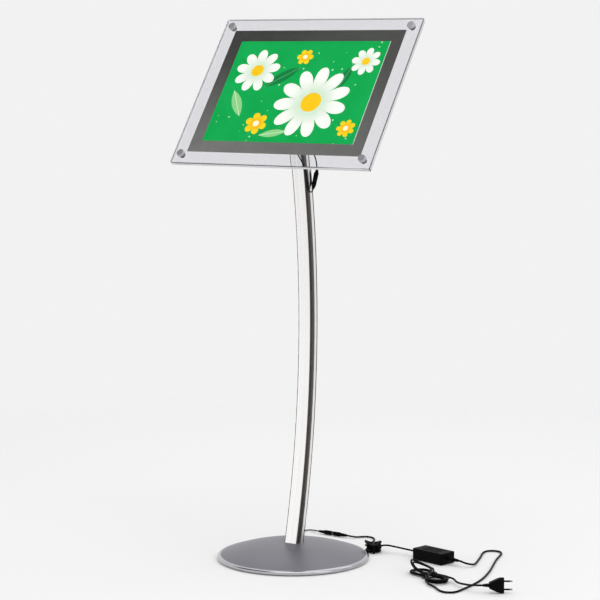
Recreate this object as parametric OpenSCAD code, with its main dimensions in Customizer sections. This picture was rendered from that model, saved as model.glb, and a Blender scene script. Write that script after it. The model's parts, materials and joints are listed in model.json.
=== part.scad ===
// LED menu stand: an edge-lit acrylic panel tilts on a bowed aluminium post with a round weighted base.
// Millimetres. The origin is the centre of the base's underside, +Z is up and the panel faces -Y.

/* [Base] */
// Diameter of the base over its rim bead
base_d = 360; // [320:5:400]
// Height of the flat land that the post stands on
base_h = 38; // [34:1:46]
// Diameter of the flat land
land_d = 64; // [58:1:76]
// Thickness of the spun cover's sheet
skin_t = 2; // [1.5:0.25:2.5]
// Diameter of the rim bead
bead_d = 10; // [8:0.5:12]
// Thickness of the rubber pad ring
pad_t = 2; // [1.5:0.5:3]
// Width of the rubber pad ring
pad_w = 50; // [30:5:70]
// Thickness of the steel weight
weight_t = 10; // [9:0.5:12]
// Distance from the base's edge in to the weight's edge
weight_inset = 25; // [22:1:40]
// Diameter of the spacer between the weight and the land
hub_d = 58; // [50:1:60]
// Diameter of the two foot bolts
bolt_d = 8; // [6:1:8]
// Distance between the two foot bolts
bolt_gap = 15; // [15:0.5:17]
// Depth of the foot bolts in the foot block
bolt_grip = 22; // [16:1:26]

/* [Post] */
// Width of the post across its front
post_w = 35.5; // [33:0.5:38]
// Depth of the post from front to back
post_d = 32; // [28:0.5:34]
// Wall thickness of the post
post_wall = 2.2; // [1.8:0.1:2.6]
// Radius of the post's bow on its centreline
bow_r = 2212; // [1900:1:2600]
// Height at which the post runs upright
bow_z = 560; // [500:1:620]
// Height of the post's upper end
post_top_z = 1005; // [900:1:1100]
// Distance of the post's foot behind the base's centre
foot_y = 5; // [0:0.5:10]
// Radius of the post's front edges
front_edge_r = 2.5; // [2.5:0.5:4]
// Radius of the post's rear edges
rear_edge_r = 4; // [3:0.5:7.5]
// Width of the flute in each side of the post
flute_w = 16; // [12:0.5:17]
// Depth of the flute in each side of the post
flute_deep = 1.5; // [0.8:0.1:2]
// Height of the foot block above the base
foot_h = 46; // [44:1:60]
// Depth of the head's spigot in the post
spigot_l = 24; // [22:1:26]
// Height of the lead's lower hole on the post's centreline
lead_low_z = 54; // [52:0.5:56]
// Height of the lead's upper hole on the post's centreline
lead_high_z = 968; // [960:1:972]

/* [Head] */
// Height of the tilt axis above the post's upper end
head_rise = 32; // [28:0.5:40]
// Radius of the hinge knuckles
knuckle_r = 12; // [10:0.5:13]
// Thickness of the plate that closes the post
head_plate_t = 5; // [4:0.5:7]
// Thickness of each ear
ear_t = 8; // [6:0.5:8.5]
// Thickness of the bracket's tongue
tongue_t = 12; // [10:0.5:13]
// Thickness of the friction washers
friction_t = 1.5; // [1:0.25:2]
// Diameter of the pivot bolt
pivot_d = 8; // [6:0.5:10]
// Width of the bracket's plate
bracket_w = 90; // [80:1:120]
// Height of the bracket's plate
bracket_h = 70; // [64:1:76]
// Thickness of the bracket's plate
bracket_t = 5; // [4:0.5:6]

/* [Panel] */
// Width of the panel
panel_w = 540; // [520:1:600]
// Height of the panel
panel_h = 416; // [400:1:460]
// Lean of the panel from the horizontal
panel_lean = 53.5; // [40:0.5:70]
// Distance from the tilt axis to the panel's back face
pivot_gap = 32; // [28:0.5:40]
// Distance from the tilt axis up to the panel's middle
pivot_drop = 50; // [40:1:60]
// Thickness of the pocketed back plate
back_t = 8; // [7.5:0.25:10]
// Thickness of the front cover
front_t = 3; // [2:0.25:5]
// Radius of the panel's corners
corner_r = 4; // [1:0.5:8]
// Chamfer on the panel's edges
edge_c = 0.8; // [0.4:0.1:1.2]
// Width of the printed mask
mask_w = 470; // [450:1:476]
// Height of the printed mask
mask_h = 350; // [330:1:354]
// Width of the picture seen through the mask
view_w = 410; // [390:1:414]
// Height of the picture seen through the mask
view_h = 287; // [270:1:291]
// Width of the picture sheet
sheet_w = 420; // [416:1:424]
// Height of the picture sheet
sheet_h = 297; // [293:1:301]
// Distance that the mask laps over the edge of the pocket
mask_lap = 3; // [2:0.5:5]
// Thickness of the light guide
guide_t = 3; // [2.5:0.1:3]
// Thickness of the diffuser
diffuser_t = 1; // [0.5:0.1:1]
// Number of LEDs on each board
led_count = 18; // [12:1:24]
// Diameter of the corner caps
cap_d = 19; // [16:0.5:20]
// Height of the corner caps
cap_h = 7; // [5:0.5:9]
// Distance of the corner caps from the panel's edges
cap_inset = 24; // [20:0.5:26]
// Diameter of the cap screws' shanks
cap_shank_d = 6; // [5:0.5:7]

/* [Leads] */
// Diameter of the low-voltage leads on the stand
lead_d = 3; // [2.6:0.1:3.4]
// Length of the ribbed relief on each half of the in-line connector (mm)
grip_l = 8; // [6:0.5:10]
// Diameter of the adapter's low-voltage cable
dc_d = 4.2; // [3.6:0.1:4.4]
// Diameter of the mains cable
mains_d = 4.6; // [4.2:0.1:5]
// Length of the adapter
adapter_l = 92; // [86:1:96]
// Width of the adapter
adapter_w = 49; // [44:1:52]
// Height of the adapter
adapter_h = 27; // [25:0.5:30]
// Wall of the adapter's shells
adapter_wall = 2; // [1.6:0.1:2.4]
// Turns of cable in each layer of the small coil
coil_turns = 2; // [2:1:2]
// Turns of cable in the mains hank
hank_turns = 3.75; // [3.75:1:3.75]

/* [Hidden] */
$fn = 64;
// Clearance of sliding and press-in pieces
fit = 0.05;
// Clearance round sheets and boards that are dropped into a pocket
drop_fit = 0.2;
// Clearance between pieces that move past each other
move_fit = 0.3;
// Overlap of cuts past the faces that they open
cut = 1;
// Segments in a full turn of the post's bow
bow_fn = 1440;

base_r = base_d / 2;
land_r = land_d / 2;
bead_r = bead_d / 2;
bead_lift = 0.5;
bead_x = base_r - bead_r;
bead_z = bead_lift + bead_r;
dome_run = bead_x - land_r;
dome_drop = base_h - bead_z - 0.8 * bead_r;
dome_r = (dome_run * dome_run + dome_drop * dome_drop) / (2 * dome_drop);
weight_r = base_r - weight_inset;
weight_top = pad_t + weight_t;
bolt_head_d = 1.6 * bolt_d;
bolt_head_h = 5;
bolt_washer_d = bolt_d + 6;
bolt_washer_t = 1.2;
bolt_seat = pad_t + bolt_head_h + bolt_washer_t + drop_fit;

arc_y = foot_y - sqrt(bow_r * bow_r - (base_h - bow_z) * (base_h - bow_z));
function lean(z) = asin((z - bow_z) / bow_r);
function mid_y(z) = arc_y + bow_r * cos(lean(z));
inner_w = post_w - 2 * (post_wall + flute_deep);
inner_d = post_d - 2 * post_wall;
inner_r = 3;
flute_r = (flute_w * flute_w / 4 + flute_deep * flute_deep) / (2 * flute_deep);
flute_x = -post_d / 2 + front_edge_r + 0.5 + flute_w / 2;
bow_spare = 20;
bolt_y = mid_y(base_h + bolt_grip / 2);
grommet_neck_d = lead_d + 3;
grommet_d = grommet_neck_d + 3;
grommet_lip = 1.5;
grommet_in = post_wall + grommet_lip + drop_fit;
slot_w = lead_d + 1.5;
wire_x = post_d / 2 - grommet_in - lead_d / 2 - 0.7;
slot_deep = inner_d / 2 - wire_x + lead_d / 2 + 1;

fix_d = 4;
fix_l = 9;
fix_head_d = 7;
fix_head_h = 2.2;
fix_gap = 12;
fix_low_z = base_h + foot_h - 10;
fix_high_z = post_top_z - spigot_l / 2;

ear_gap = tongue_t + 2 * friction_t + 2 * fit;
ear_x = ear_gap / 2 + ear_t;
pivot_head_d = 14;
pivot_head_h = 5;
pivot_key = 5;
nut_w = 13;
nut_h = 6.5;
top_lean = lean(post_top_z);
pivot_y = mid_y(post_top_z) - head_rise * sin(top_lean);
pivot_z = post_top_z + head_rise * cos(top_lean);
plate_low = -30;
screw_dx = bracket_w / 2 - 11;
screw_low = plate_low + 10;
screw_high = plate_low + bracket_h - 10;
screw_d = 4;
screw_head_d = 8;
screw_head_h = 2;

reflector_t = 0.3;
picture_t = 0.2;
mask_t = 0.2;
rebate_t = 0.3;
cover_gap = 0.05;
stack_t = reflector_t + guide_t + diffuser_t + picture_t;
floor_z = back_t - rebate_t - stack_t;
pocket_w = mask_w - 2 * mask_lap;
pocket_h = mask_h - 2 * mask_lap;
board_t = 1;
board_w = 4;
chip_l = 3.5;
chip_t = 1.4;
chip_w = 2.8;
chip_gap = 0.6;
guide_h = pocket_h - 2 * (drop_fit + board_t + chip_t + chip_gap);
led_wire_d = 1.6;
cover_z = back_t + cover_gap;
front_z = cover_z + front_t;
cap_x = panel_w / 2 - cap_inset;
cap_y = panel_h / 2 - cap_inset;
cap_edge = 1.4;
cap_washer_t = 1;
cap_seat = front_z + cap_washer_t + fit;
bush_d = cap_shank_d + 3;
bush_flange_d = cap_shank_d + 8;
bush_flange_t = 1.5;
gland_x = -10;
gland_y = -95;
gland_neck_d = lead_d + 3;
gland_d = lead_d + 8;
gland_l = 9;

// World place of a point that is given in the panel's own frame
function panel_pt(p) = [
    p.x,
    pivot_y + (p.y + pivot_drop) * cos(panel_lean) - (p.z + pivot_gap) * sin(panel_lean),
    pivot_z + (p.y + pivot_drop) * sin(panel_lean) + (p.z + pivot_gap) * cos(panel_lean)];
// World place of a point that is given in the post's frame at height z
function post_pt(z, p) = [
    p.x,
    mid_y(z) + p.y * cos(lean(z)) - p.z * sin(lean(z)),
    z + p.y * sin(lean(z)) + p.z * cos(lean(z))];
function unit(v) = v / norm(v);

// Ends of the barrel connector pair on the floor behind the base
socket_pt = [-84, 254, 5.8];
plug_pt = [-1, 249, 5.8];
// Route of the panel's lead, from its gland down past the post's front to the hanging connector
lead_top = [23.8, 50.5, 874];
lead_end = [25.6, 66, 918];
panel_lead_pts = concat(
    [panel_pt([gland_x, gland_y, -gland_l]), panel_pt([gland_x, gland_y, -gland_l - 6])],
    [[-9, -19, 1003], [-5, -10, 990], [0, 0, 974], [7, 9, 957], [13.5, 14, 943], [19, 18.5, 929],
     [20.5, 26, 910], [20.5, 31, 890], [21.2, 36, 872], [22.2, 41, 867], [23.2, 45.6, 867]],
    [lead_top - 4 * unit(lead_end - lead_top), lead_top]);
// Route of the post's lead, from the connector's upper end to the hole in the post's back
post_lead_pts = concat(
    [lead_end, lead_end + 4 * unit(lead_end - lead_top)],
    [[25.6, 67, 930], [24, 64.5, 942], [20.3, 61.5, 953.5], [15.5, 60, 963],
     [9, 59.5, 970], [3, 57, 973]],
    [post_pt(lead_high_z, [0, post_d / 2 + grommet_lip + 6, 0]),
     post_pt(lead_high_z, [0, post_d / 2 + grommet_lip, 0])]);
// Route of the wire inside the post, in through the lower hole, up the rear wall and out of the upper hole
wire_bend = [
    [post_d / 2 + grommet_lip, 0], [post_d / 2 - grommet_in, 0], [wire_x + 1, 0.35], [wire_x + 0.25, 1.3],
    [wire_x, 2.8]];
wire_rings = 24;
post_wire_pts = concat(
    [for (p = wire_bend) post_pt(lead_low_z, [0, p.x, p.y])],
    [for (i = [0:wire_rings])
        post_pt(lead_low_z + 4 + (lead_high_z - lead_low_z - 8) * i / wire_rings, [0, wire_x, 0])],
    [for (i = [len(wire_bend) - 1:-1:0]) post_pt(lead_high_z, [0, wire_bend[i].x, -wire_bend[i].y])]);
// Route of the foot's lead, over the rear of the base to the socket on the floor
foot_lead_pts = concat(
    [post_pt(lead_low_z, [0, post_d / 2 + grommet_lip, 0]),
     post_pt(lead_low_z, [0, post_d / 2 + grommet_lip + 6, 0])],
    [[-4, 42, 45.5], [-18, 70, 38.8], [-31, 93, 34.8], [-46, 117, 28.2], [-60, 139, 20.6],
     [-72, 158, 13.6], [-84, 177, 7.6], [-96, 196, 3.4], [-110, 220, 2], [-122, 243, 2],
     [-126, 257, 2], [-121, 265.5, 2.2], [-112, 265.5, 3], [-102, 260, 4.6]],
    [socket_pt - 6 * unit(plug_pt - socket_pt), socket_pt]);

// Ties of the small coil and the mains hank, and how high a tied cable lies on the floor
tie_t = 0.9;
tie_w = 5;
tie_fit = 0.7;
tie_lift = tie_t + tie_fit + 0.3;

// The small coil of the adapter's cable stands on the floor beside the base
coil_at = [130, 156];
coil_r = 19.5;
coil_step = dc_d + 0.5;
coil_waist = dc_d + 0.5;
coil_rise = 7.4;
coil_lobe = 32;
coil_layers = 4;
coil_start = 180;
coil_low = dc_d / 2 + tie_lift;
coil_rounds = coil_layers * coil_turns + 0.375;
loop_rings = 24;
// Share of a climb that has been done, from 0 to 1, eased at both ends
function eased(q) = q <= 0 ? 0 : q >= 1 ? 1 : (1 - cos(180 * q)) / 2;
function sum(v, i = 0) = i == len(v) ? 0 : v[i] + sum(v, i + 1);
coil_full = coil_layers * coil_turns;
function coil_in(t) = t > coil_full ? coil_full - t : abs((t + coil_turns) % (2 * coil_turns) - coil_turns);
function coil_reach(t) = coil_r - coil_step * coil_in(t);
// Height of one layer, which grows with the square of the distance from the tied waist
function coil_layer(t) = coil_waist + (coil_rise - coil_waist)
    * pow(coil_reach(t) * cos(coil_start + 360 * t - coil_lobe) / coil_r, 2);
function coil_z(t) = coil_low + coil_layer(t)
    * sum([for (k = [1:coil_layers - 1]) eased((t - k * coil_turns + 0.25) / 0.5)]);
function coil_pt(t) =
    let (r = coil_reach(t), a = coil_start + 360 * t)
    [coil_at.x + r * cos(a), coil_at.y + r * sin(a), coil_z(t)];
coil_turn_pts = [for (i = [0:coil_rounds * loop_rings]) coil_pt(i / loop_rings)];

// The mains hank lies on the floor in front of the adapter, drawn in at its tied waist
hank_at = [366, 2];
hank_turn = -37;
hank_run = 45;
hank_w = 17;
hank_step = mains_d + 1;
hank_rise = mains_d + 0.6;
hank_low = mains_d / 2 + tie_lift;
hank_draw = 14;
hank_back = 1.625;
hank_roll = 27;
function hank_loop(u, w) =
    u < 0.25 ? let (q = 1 - 8 * u) [hank_run * q, -w + hank_draw * (1 + cos(180 * q)) / 2]
    : u < 0.5 ? let (a = 270 - 720 * (u - 0.25)) [-hank_run + w * cos(a), w * sin(a)]
    : u < 0.75 ? let (q = 8 * (u - 0.5) - 1) [hank_run * q, w - hank_draw * (1 + cos(180 * q)) / 2]
    : let (a = 90 - 720 * (u - 0.75)) [hank_run + w * cos(a), w * sin(a)];
hank_edge = hank_w + hank_step * (hank_turns - hank_back);
// The upper loops stand up at one end of the hank, each a little steeper than the one inside it
function hank_pt(t) =
    let (p = hank_loop(t - floor(t), hank_w + hank_step * abs(t - hank_back)),
         up = eased((t - hank_back + 0.125) / 0.25),
         fan = 1 - 0.3 * (hank_turns - t) / (hank_turns - hank_back),
         a = hank_roll * up * fan * eased(-p.x / (hank_run + hank_edge)),
         over = hank_edge - p.y,
         y = hank_edge - over * cos(a))
    [hank_at.x + p.x * cos(hank_turn) - y * sin(hank_turn),
     hank_at.y + p.x * sin(hank_turn) + y * cos(hank_turn),
     hank_low + hank_rise * up + over * sin(a)];
hank_turn_pts = [for (i = [0:hank_turns * loop_rings]) hank_pt(i / loop_rings)];

// A wound path with a straight end of one tube diameter at each end
function with_ends(p, d) = concat(
    [p[0] - d * unit(p[1] - p[0])], p, [p[len(p) - 1] + d * unit(p[len(p) - 1] - p[len(p) - 2])]);
coil_pts = with_ends(coil_turn_pts, dc_d);
coil_end = coil_pts[len(coil_pts) - 1];
hank_pts = with_ends(hank_turn_pts, mains_d);
hank_end = hank_pts[len(hank_pts) - 1];
// Least distance between the surfaces of loops that pass each other, measured on the rings
function self_gap(p, d) = min([
    for (i = [0:len(p) - 1]) for (j = [i + loop_rings / 2:1:len(p) - 1]) norm(p[i] - p[j])]) - d;
echo(coil_gap = self_gap(coil_turn_pts, dc_d), hank_gap = self_gap(hank_turn_pts, mains_d));

// The adapter and the two ends of its cables
adapter_at = [296, 151];
adapter_turn = -13;
adapter_lift = 0.3;
adapter_mid = adapter_lift + adapter_h / 2;
dc_relief_l = 14;
mains_relief_l = 30;
function adapter_pt(x) = [
    adapter_at.x + x * cos(adapter_turn), adapter_at.y + x * sin(adapter_turn), adapter_mid];
plug_turn = 32;
plug_l = 46;
plug_h = 34.6;
plug_t = 13.7;
plug_lift = 0.3;
plug_at = [533, -55, plug_lift + plug_h / 2];
pin_d = 4;
pin_l = 19;
pin_gap = 18.6;

dc_first_pts = concat(
    [plug_pt, plug_pt + 8 * unit(plug_pt - socket_pt)],
    [[19, 256, 3.4], [31, 270, 2.6], [44, 278, 2.4], [57, 276, 2.4], [69, 264, 2.4], [81, 242, 2.4],
     [93, 218, 2.4], [103, 196, 2.8]],
    [coil_pts[0] + 8 * unit(coil_pts[0] - coil_pts[1]), coil_pts[0]]);
dc_last_pts = concat(
    [coil_end, coil_end + 8 * unit(coil_end - coil_pts[len(coil_pts) - 2])],
    [[163, 158.5, 19.8], [175, 165.5, 17.8], [190, 169, 15.8], [208, 169.3, 14.4]],
    [adapter_pt(-adapter_l / 2 - dc_relief_l - 6), adapter_pt(-adapter_l / 2 - dc_relief_l)]);
mains_first_pts = concat(
    [adapter_pt(adapter_l / 2 + mains_relief_l), adapter_pt(adapter_l / 2 + mains_relief_l + 8)],
    [[386.8, 132.4, 11.4], [395.4, 137.2, 8.6], [400.4, 145.8, 6.2], [400.8, 156, 4.6], [397.8, 170, 3.5],
     [391.6, 189, 2.6], [372.5, 247, 2.6], [361.8, 280, 2.6], [362.6, 297, 2.6], [375, 308.4, 2.6],
     [391.5, 307.2, 2.6], [402, 294.5, 2.6], [412, 263, 2.6], [450, 148, 2.6], [471, 78, 2.6], [481, 26, 2.6],
     [484, -24, 2.6], [483.6, -66, 2.6], [481.6, -85, 2.6], [474.4, -96.8, 2.6], [462.6, -101, 2.6],
     [450.4, -98.4, 2.6], [436.5, -88, 2.8], [422, -75.4, 3.2]],
    [hank_pts[0] + 10 * unit(hank_pts[0] - hank_pts[1]), hank_pts[0]]);
mains_last_pts = concat(
    [hank_end, hank_end + 8 * unit(hank_end - hank_pts[len(hank_pts) - 2])],
    [[447, -22, 8.4], [463, -34, 8.6], [481, -45, 11], [499, -56, 14], [515, -61, 16.6]],
    [plug_at - 6 * [cos(plug_turn), sin(plug_turn), 0], plug_at]);

// Tube of d along a list of points, with each ring square to the route
module tube(pts, d, sides = 8) {
    n = len(pts);
    ways = [for (i = [0:n - 1])
        i == 0 ? unit(pts[1] - pts[0])
        : i == n - 1 ? unit(pts[i] - pts[i - 1])
        : unit(unit(pts[i + 1] - pts[i]) + unit(pts[i] - pts[i - 1]))];
    first = unit(cross(ways[0], abs(ways[0].z) < 0.9 ? [0, 0, 1] : [1, 0, 0]));
    across = [for (i = 0, s = first; i < n;
        i = i + 1, s = i < n ? unit(s - (s * ways[i]) * ways[i]) : s) s];
    ring_pts = [for (i = [0:n - 1]) for (k = [0:sides - 1])
        let (a = 360 * k / sides)
        pts[i] + d / 2 * (cos(a) * across[i] + sin(a) * cross(ways[i], across[i]))];
    walls = [for (i = [0:n - 2]) for (k = [0:sides - 1]) for (half = [0, 1])
        let (a = i * sides + k, b = i * sides + (k + 1) % sides)
        half == 0 ? [a, b + sides, b] : [a, a + sides, b + sides]];
    first_cap = [for (k = [1:sides - 2]) [0, k, k + 1]];
    last_cap = [for (k = [1:sides - 2]) [(n - 1) * sides, (n - 1) * sides + k + 1, (n - 1) * sides + k]];
    polyhedron(ring_pts, concat(walls, first_cap, last_cap), convexity = 10);
}

// Rectangle with rounded corners, about its middle
module rounded(w, h, r) {
    square([w - 2 * r, h], center = true);
    square([w, h - 2 * r], center = true);
    for (x = [-1, 1], y = [-1, 1]) translate([x * (w / 2 - r), y * (h / 2 - r)]) circle(r = r);
}

// Slab with rounded corners and chamfered edges on both faces
module slab(w, h, t, r, c) {
    intersection() {
        linear_extrude(t) rounded(w, h, r);
        translate([0, h / 2, 0]) rotate([90, 0, 0]) linear_extrude(h) chamfered(w, t, c);
        translate([-w / 2, 0, 0]) rotate([90, 0, 90]) linear_extrude(w) chamfered(h, t, c);
    }
}

// Section of a slab with chamfered edges
module chamfered(w, t, c) {
    polygon([[-w / 2 + c, 0], [w / 2 - c, 0], [w / 2, c], [w / 2, t - c],
             [w / 2 - c, t], [-w / 2 + c, t], [-w / 2, t - c], [-w / 2, c]]);
}

// Ring of height t
module washer(d, bore, t) {
    difference() {
        cylinder(d = d, h = t);
        translate([0, 0, -cut]) cylinder(d = bore, h = t + 2 * cut);
    }
}

// Button-head screw, with its head above z = 0 and its shank below
module button_screw(d, l, head_d, head_h, key) {
    difference() {
        union() {
            rotate_extrude() round_top(head_d / 2, head_h, head_h / 2);
            translate([0, 0, -l]) cylinder(d = d, h = l + head_h / 2);
        }
        translate([0, 0, head_h / 2]) cylinder(d = key, h = head_h, $fn = 6);
    }
}

// Half section of a disc of radius r and height h, with its upper edge rounded to e
module round_top(r, h, e) {
    square([r - e, h]);
    square([r, h - e]);
    translate([r - e, h - e]) intersection() {
        circle(r = e);
        square(e);
    }
}

// Rubber strain relief along +Z, from the wide end at 0 to the narrow end at l, with ring grooves
module relief(d1, d2, l, rings) {
    pitch = l / (rings + 1);
    difference() {
        cylinder(d1 = d1, d2 = d2, h = l);
        for (k = [1:rings]) translate([0, 0, k * pitch - pitch / 5])
            washer(d1 + 2, d1 + (d2 - d1) * k / (rings + 1) - 1.6, pitch * 2 / 5);
    }
}

// Points local +Z along a direction
module aim(v) {
    rotate([0, acos(v.z / norm(v)), atan2(v.y, v.x)]) children();
}

// Frame of the post's centreline at height z, with +Y to the back and +Z up the post
module on_post(z) {
    translate([0, mid_y(z), z]) rotate([lean(z), 0, 0]) children();
}

// Carries a section along the post's bow, with its X to the back and its Y across
module bow(z0, z1) {
    translate([0, arc_y, bow_z]) rotate([90, 0, 90]) rotate([0, 0, lean(z0)])
        rotate_extrude(angle = lean(z1) - lean(z0), $fn = bow_fn) translate([bow_r, 0]) children();
}

// Keeps what stands above the land of the base
module above_land() {
    intersection() {
        children();
        translate([-post_w, -post_w * 2, base_h]) cube([post_w * 2, post_w * 6, post_top_z]);
    }
}

// Frame of the tilt axis, turned with the panel
module at_pivot() {
    translate([0, pivot_y, pivot_z]) rotate([panel_lean, 0, 0]) children();
}

// Frame of the middle of the panel's back face, with +Z to the front
module in_panel() {
    at_pivot() translate([0, pivot_drop, pivot_gap]) children();
}

module at_corners() {
    for (x = [-1, 1], y = [-1, 1]) translate([x * cap_x, y * cap_y, 0]) children();
}

// Outer section of the post: square front edges, a flute in each side and round rear edges
module post_outline() {
    side = post_w / 2;
    difference() {
        union() {
            translate([-post_d / 2 + front_edge_r, -side])
                square([post_d - front_edge_r - rear_edge_r, post_w]);
            translate([-post_d / 2, -side + front_edge_r])
                square([front_edge_r + cut, post_w - 2 * front_edge_r]);
            translate([post_d / 2 - rear_edge_r - cut, -side + rear_edge_r])
                square([rear_edge_r + cut, post_w - 2 * rear_edge_r]);
            for (y = [-1, 1]) {
                translate([-post_d / 2 + front_edge_r, y * (side - front_edge_r)]) circle(r = front_edge_r);
                translate([post_d / 2 - rear_edge_r, y * (side - rear_edge_r)]) circle(r = rear_edge_r);
            }
        }
        for (y = [-1, 1]) translate([flute_x, y * (side + flute_r - flute_deep)]) circle(r = flute_r);
    }
}

// Pair of screws in the post's back at height z
module back_pair(z) {
    on_post(z) for (x = [-1, 1]) translate([x * fix_gap / 2, post_d / 2, 0]) rotate([-90, 0, 0]) children();
}

module base_cover() {
    color("silver") difference() {
        rotate_extrude($fn = 180) {
            translate([0, base_h - skin_t]) square([land_r + fit, skin_t]);
            intersection() {
                translate([land_r, base_h - dome_r]) difference() {
                    circle(r = dome_r, $fn = 720);
                    circle(r = dome_r - skin_t, $fn = 720);
                }
                translate([land_r, bead_z]) square([dome_run, base_h]);
            }
            translate([bead_x, bead_z]) circle(r = bead_r);
        }
        for (x = [-1, 1]) translate([x * bolt_gap / 2, bolt_y, 0])
            cylinder(d = bolt_d + 2 * drop_fit, h = base_h + cut);
    }
}

module base_weight() {
    color("dimgray") translate([0, 0, pad_t]) difference() {
        cylinder(r = weight_r, h = weight_t, $fn = 180);
        for (x = [-1, 1]) translate([x * bolt_gap / 2, bolt_y, 0]) {
            translate([0, 0, -cut]) cylinder(d = bolt_d + 2 * drop_fit, h = weight_t + 2 * cut);
            translate([0, 0, -cut]) cylinder(d = bolt_washer_d + 2 * drop_fit, h = bolt_seat - pad_t + cut);
        }
    }
}

module base_pad() {
    color("black") washer(2 * weight_r, 2 * (weight_r - pad_w), pad_t, $fn = 180);
}

module base_hub() {
    color("gray") translate([0, 0, weight_top]) difference() {
        cylinder(d = hub_d, h = base_h - skin_t - weight_top);
        for (x = [-1, 1]) translate([x * bolt_gap / 2, bolt_y, -cut])
            cylinder(d = bolt_d + 2 * drop_fit, h = base_h);
    }
}

module base_bolts() {
    color("gainsboro") for (x = [-1, 1]) translate([x * bolt_gap / 2, bolt_y, bolt_seat - bolt_washer_t])
        rotate([180, 0, 0]) difference() {
            union() {
                cylinder(d = bolt_head_d, h = bolt_head_h);
                translate([0, 0, bolt_seat - bolt_washer_t - base_h - bolt_grip])
                    cylinder(d = bolt_d, h = base_h + bolt_grip - bolt_seat + bolt_washer_t);
            }
            translate([0, 0, bolt_head_h / 2]) cylinder(d = 0.8 * bolt_d, h = bolt_head_h, $fn = 6);
        }
}

module base_washers() {
    color("lightgray") for (x = [-1, 1]) translate([x * bolt_gap / 2, bolt_y, bolt_seat - bolt_washer_t])
        washer(bolt_washer_d, bolt_d + 2 * fit, bolt_washer_t);
}

module post() {
    color("gainsboro") above_land() difference() {
        bow(base_h - bow_spare, post_top_z) difference() {
            post_outline();
            rounded(inner_d, inner_w, inner_r);
        }
        for (z = [lead_low_z, lead_high_z]) on_post(z) rotate([-90, 0, 0])
            cylinder(d = grommet_neck_d + 2 * fit, h = post_d);
        for (z = [fix_low_z, fix_high_z]) back_pair(z)
            translate([0, 0, -post_wall - cut]) cylinder(d = fix_d + 2 * fit, h = post_wall + 2 * cut);
    }
}

module post_foot() {
    color("darkgray") above_land() difference() {
        bow(base_h - bow_spare, base_h + foot_h)
            rounded(inner_d - 2 * drop_fit, inner_w - 2 * drop_fit, inner_r);
        for (x = [-1, 1]) translate([x * bolt_gap / 2, bolt_y, 0])
            cylinder(d = bolt_d + 2 * fit, h = base_h + bolt_grip + cut);
        bow(lead_low_z - grommet_d / 2 - cut, base_h + foot_h + cut)
            translate([inner_d / 2 - slot_deep, -slot_w / 2]) square([slot_deep + cut, slot_w]);
        on_post(lead_low_z) translate([0, inner_d / 2 - slot_deep, 0]) rotate([-90, 0, 0])
            cylinder(d = grommet_d + 2 * drop_fit, h = slot_deep + cut);
        back_pair(fix_low_z) translate([0, 0, -fix_l - cut])
            cylinder(d = fix_d + 2 * fit, h = fix_l + 2 * cut);
    }
}

module fixing_screws(z) {
    color("silver") back_pair(z) button_screw(fix_d, fix_l, fix_head_d, fix_head_h, 2.5);
}

module foot_screws() {
    fixing_screws(fix_low_z);
}

module head_screws() {
    fixing_screws(fix_high_z);
}

// Grommet in the post's back wall at height z, with a lip on each side of the wall
module grommet(z) {
    color("black") on_post(z) translate([0, post_d / 2, 0]) rotate([-90, 0, 0]) difference() {
        union() {
            translate([0, 0, drop_fit]) rotate_extrude()
                round_top(grommet_d / 2, grommet_lip - drop_fit, grommet_lip / 2);
            translate([0, 0, -grommet_in]) cylinder(d = grommet_neck_d, h = grommet_in + grommet_lip / 2);
            translate([0, 0, -grommet_in]) cylinder(d = grommet_d, h = grommet_lip);
        }
        translate([0, 0, -post_d]) cylinder(d = lead_d + 2 * fit, h = 2 * post_d);
    }
}

module foot_grommet() {
    grommet(lead_low_z);
}

module top_grommet() {
    grommet(lead_high_z);
}

module post_wire() {
    color("black") tube(post_wire_pts, lead_d);
}

module post_head() {
    color("darkgray") difference() {
        union() {
            bow(post_top_z - spigot_l, post_top_z + cut)
                rounded(inner_d - 2 * drop_fit, inner_w - 2 * drop_fit, inner_r);
            on_post(post_top_z) {
                linear_extrude(head_plate_t) rotate(90) post_outline();
                for (x = [-1, 1]) translate([x * (ear_gap + ear_t) / 2 - ear_t / 2, 0, 0]) {
                    translate([0, -knuckle_r, 0]) cube([ear_t, 2 * knuckle_r, head_rise]);
                    translate([0, 0, head_rise]) rotate([0, 90, 0]) cylinder(r = knuckle_r, h = ear_t);
                }
            }
        }
        on_post(post_top_z) translate([-post_w, 0, head_rise]) rotate([0, 90, 0])
            cylinder(d = pivot_d + 2 * fit, h = 2 * post_w);
        back_pair(fix_high_z) translate([0, 0, -fix_l - cut])
            cylinder(d = fix_d + 2 * fit, h = fix_l + 2 * cut);
    }
}

module pivot_bolt() {
    color("silver") on_post(post_top_z) translate([ear_x, 0, head_rise]) rotate([0, 90, 0])
        button_screw(pivot_d, 2 * ear_x + nut_h, pivot_head_d, pivot_head_h, pivot_key);
}

module pivot_nut() {
    color("silver") on_post(post_top_z) translate([-ear_x, 0, head_rise]) rotate([0, -90, 0]) difference() {
        union() {
            cylinder(d = nut_w / cos(30), h = nut_h * 0.7, $fn = 6);
            cylinder(d = nut_w - 1, h = nut_h);
        }
        translate([0, 0, -cut]) cylinder(d = pivot_d + 2 * fit, h = nut_h + 2 * cut);
    }
}

module friction_washers() {
    color("dimgray") on_post(post_top_z) for (x = [-1, 1])
        translate([x * (ear_gap - friction_t) / 2 - friction_t / 2, 0, head_rise]) rotate([0, 90, 0])
            washer(2 * knuckle_r - 2, pivot_d + 2 * fit, friction_t);
}

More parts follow.
